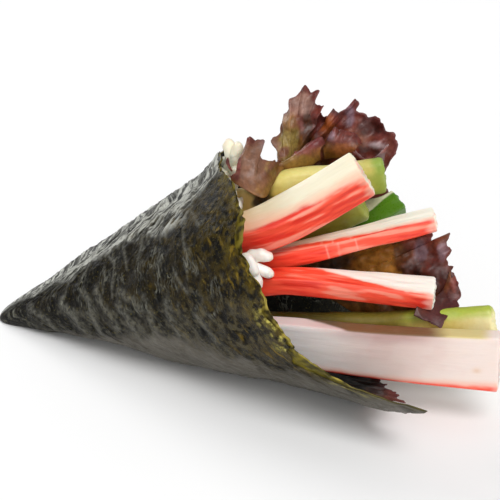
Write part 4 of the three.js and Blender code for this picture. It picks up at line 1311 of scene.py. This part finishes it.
def rice_core():
    """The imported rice, a little behind the grains that show."""
    degrees = np.arange(CORE_AROUND) * 360 / CORE_AROUND
    rings = [wrap_point(degrees, mix(8.0, rice_edge(degrees) - 1.2, step), RICE_INSET, RICE_LIFT)
             for step in (0, 0.14, 0.35, 0.6, 0.8, 0.92, 1)]
    rings += [rice_face(degrees, np.full(CORE_AROUND, share),
                        1.9 + 0.8 * noise(degrees / 9, share * 14, seed=160))
              for share in np.linspace(0.97, 0.04, 22)]
    return capped(rings), tube_faces(len(rings), CORE_AROUND)


def other_solids():
    """The CAD's other solids, each with the extra room that a grain leaves to it."""
    solids = []
    for name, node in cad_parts.items():
        if name == "rice":
            continue
        corners = np.array([v.co for v in node.data.vertices]) / MM - SHIFT
        polygons = [tuple(p.vertices) for p in node.data.polygons]
        extra = SHEET_ROOM if name == "nori_wrap" else 0.0
        solids.append((extra, BVHTree.FromPolygons([Vector(c) for c in corners], polygons)))
    return solids


def is_clear(samples, solids):
    for extra, solid in solids:
        for p in samples:
            near, normal, _, distance = solid.find_nearest(Vector(p), SEARCH_REACH)
            if near is None:
                continue
            inside = (Vector(p) - near).dot(normal) < 0
            if distance < GRAIN_ROOM + extra or (inside and distance < DEEPEST):
                return False
    return True


def grain_tries(random):
    """Where grains may lie: (place, direction, scale, whether the photo shows it singly)."""
    tries = [(np.array(at, float), np.array(along, float), 1.05, True) for at, along in SHOWN_GRAINS]
    for _ in range(GRAIN_TRIES):
        angle = random.uniform(0, 360)
        share = math.sqrt(random.uniform(0.0, 0.97))
        sink = random.uniform(-1.2, 0.6)
        if 84 < angle < 150 and share > 0.55:
            share = mix(0.55, 0.94, (share - 0.55) / 0.45)
            sink += 0.8  # the crab sticks' side of the mouth
        centre = rice_face(np.array(angle), np.array(share), np.array(sink))
        direction = [random.uniform(-0.5, 0.9), random.uniform(-1, 1), random.uniform(-1, 1)]
        tries.append((centre, np.array(direction), random.uniform(0.9, 1.08), False))
    return tries


def grain_points(shape, centre, direction, scale, shown, random):
    """A grain's points: turned, bowed and a little uneven."""
    turn = turned_to(direction, random.uniform(0, 6.3))
    width = GRAIN_WIDTH * 1.18 if shown else GRAIN_WIDTH
    size = np.array([GRAIN_LENGTH, width * random.uniform(0.92, 1.06),
                     width * random.uniform(0.86, 1.0)]) * scale
    bow = 0.05 * (shape[:, 0] ** 2)[:, None] * np.array([0, 1, 0])
    grain = ((shape + bow) * size) @ turn + centre
    uneven = 0.3 * noise(*(grain / 1.9).T, seed=165) + 0.12 * noise(*(grain / 0.9).T, seed=166)
    return grain + unit(grain - centre) * uneven[:, None]


def grain_paint(shape, centre, random):
    colour = blend(rgb(238, 229, 218), rgb(250, 246, 240), random.uniform(0, 1))
    colour = blend(colour, rgb(236, 228, 198), 0.8 * smooth(centre[2], 50, 56))
    return blend(colour, rgb(232, 220, 198), bell(np.abs(shape[:, 0]) - 0.5, 0.14) * 0.5)


def build_rice():
    """The core, and single grains on it wherever nothing else is."""
    random = np.random.default_rng(20)
    core, faces = rice_core()
    # The core is painted darker than the grains, as painted shade in the gaps between them.
    points, paint = [core], [np.tile(rgb(206, 194, 170), (len(core), 1))]
    total = len(core)
    solids = other_solids()
    plain, fine = grain_mesh(), grain_mesh(28, 20)
    kept = []
    for centre, direction, scale, shown in grain_tries(random):
        if any(np.linalg.norm(centre - other) < GRAIN_GAP for other in kept):
            continue
        shape, shape_faces = fine if shown else plain
        grain = grain_points(shape, centre, direction, scale, shown, random)
        if not shown and not is_clear(grain[::9], solids):
            continue
        kept.append(centre)
        points.append(grain)
        paint.append(grain_paint(shape, centre, random))
        faces += [[total + corner for corner in face] for face in shape_faces]
        total += len(grain)
    make_piece("rice_grains", np.concatenate(points), faces, "rice", "rice",
               paint=np.concatenate(paint))


# ---- Studio ----

# The camera that the photo's outline was fitted with, in metres.
CAMERA_AT = (0.0931805, -0.3566977, 0.1978532)
CAMERA_BACK = (0.22100665, -0.88640925, 0.40673664)
CAMERA_RIGHT = (0.9702957, 0.2419219, 0.0)
LENS = 105.0


def build_camera():
    camera = bpy.data.objects.new("camera", bpy.data.cameras.new("camera"))
    bpy.context.scene.collection.objects.link(camera)
    back, right = Vector(CAMERA_BACK).normalized(), Vector(CAMERA_RIGHT).normalized()
    up = back.cross(right)
    turn = Matrix((right, up, back)).transposed().to_4x4()
    camera.matrix_world = Matrix.Translation(CAMERA_AT) @ turn
    camera.data.lens = LENS
    camera.data.sensor_width = 36.0
    camera.data.clip_start, camera.data.clip_end = 0.01, 20.0
    bpy.context.scene.camera = camera


def add_sun(name, coming_from, spread, strength):
    light = bpy.data.objects.new(name, bpy.data.lights.new(name, "SUN"))
    light.data.angle = math.radians(spread)
    light.data.energy = strength
    light.rotation_euler = (-Vector(coming_from)).to_track_quat("-Z", "Y").to_euler()
    bpy.context.scene.collection.objects.link(light)


def build_studio():
    mesh = bpy.data.meshes.new("floor")
    far = 3.0
    corners = [(-far, -far, 0), (far, -far, 0), (far, far, 0), (-far, far, 0)]
    mesh.from_pydata(corners, [], [(0, 1, 2, 3)])
    shade = Shader("floor")
    mesh.materials.append(shade.finish(Base_Color=(0.94, 0.94, 0.94, 1), Roughness=0.7))
    floor = bpy.data.objects.new("floor", mesh)
    bpy.context.scene.collection.objects.link(floor)
    add_sun("key", (0.35, -0.5, 0.8), 35, 2.0)
    add_sun("fill", (0.25, -1.0, 0.2), 60, 0.9)
    add_sun("back", (-0.66, 0.56, 0.5), 30, 1.1)
    world = bpy.data.worlds.new("studio")
    world.use_nodes = True
    sky = world.node_tree.nodes["Background"].inputs
    sky["Color"].default_value = (1, 1, 1, 1)
    sky["Strength"].default_value = 0.36
    bpy.context.scene.world = world
    bpy.context.scene.view_settings.view_transform = "Standard"


build_camera()
build_nori()
build_crab()
build_avocado()
build_cucumber()
build_lettuce()
build_rice()
build_studio()
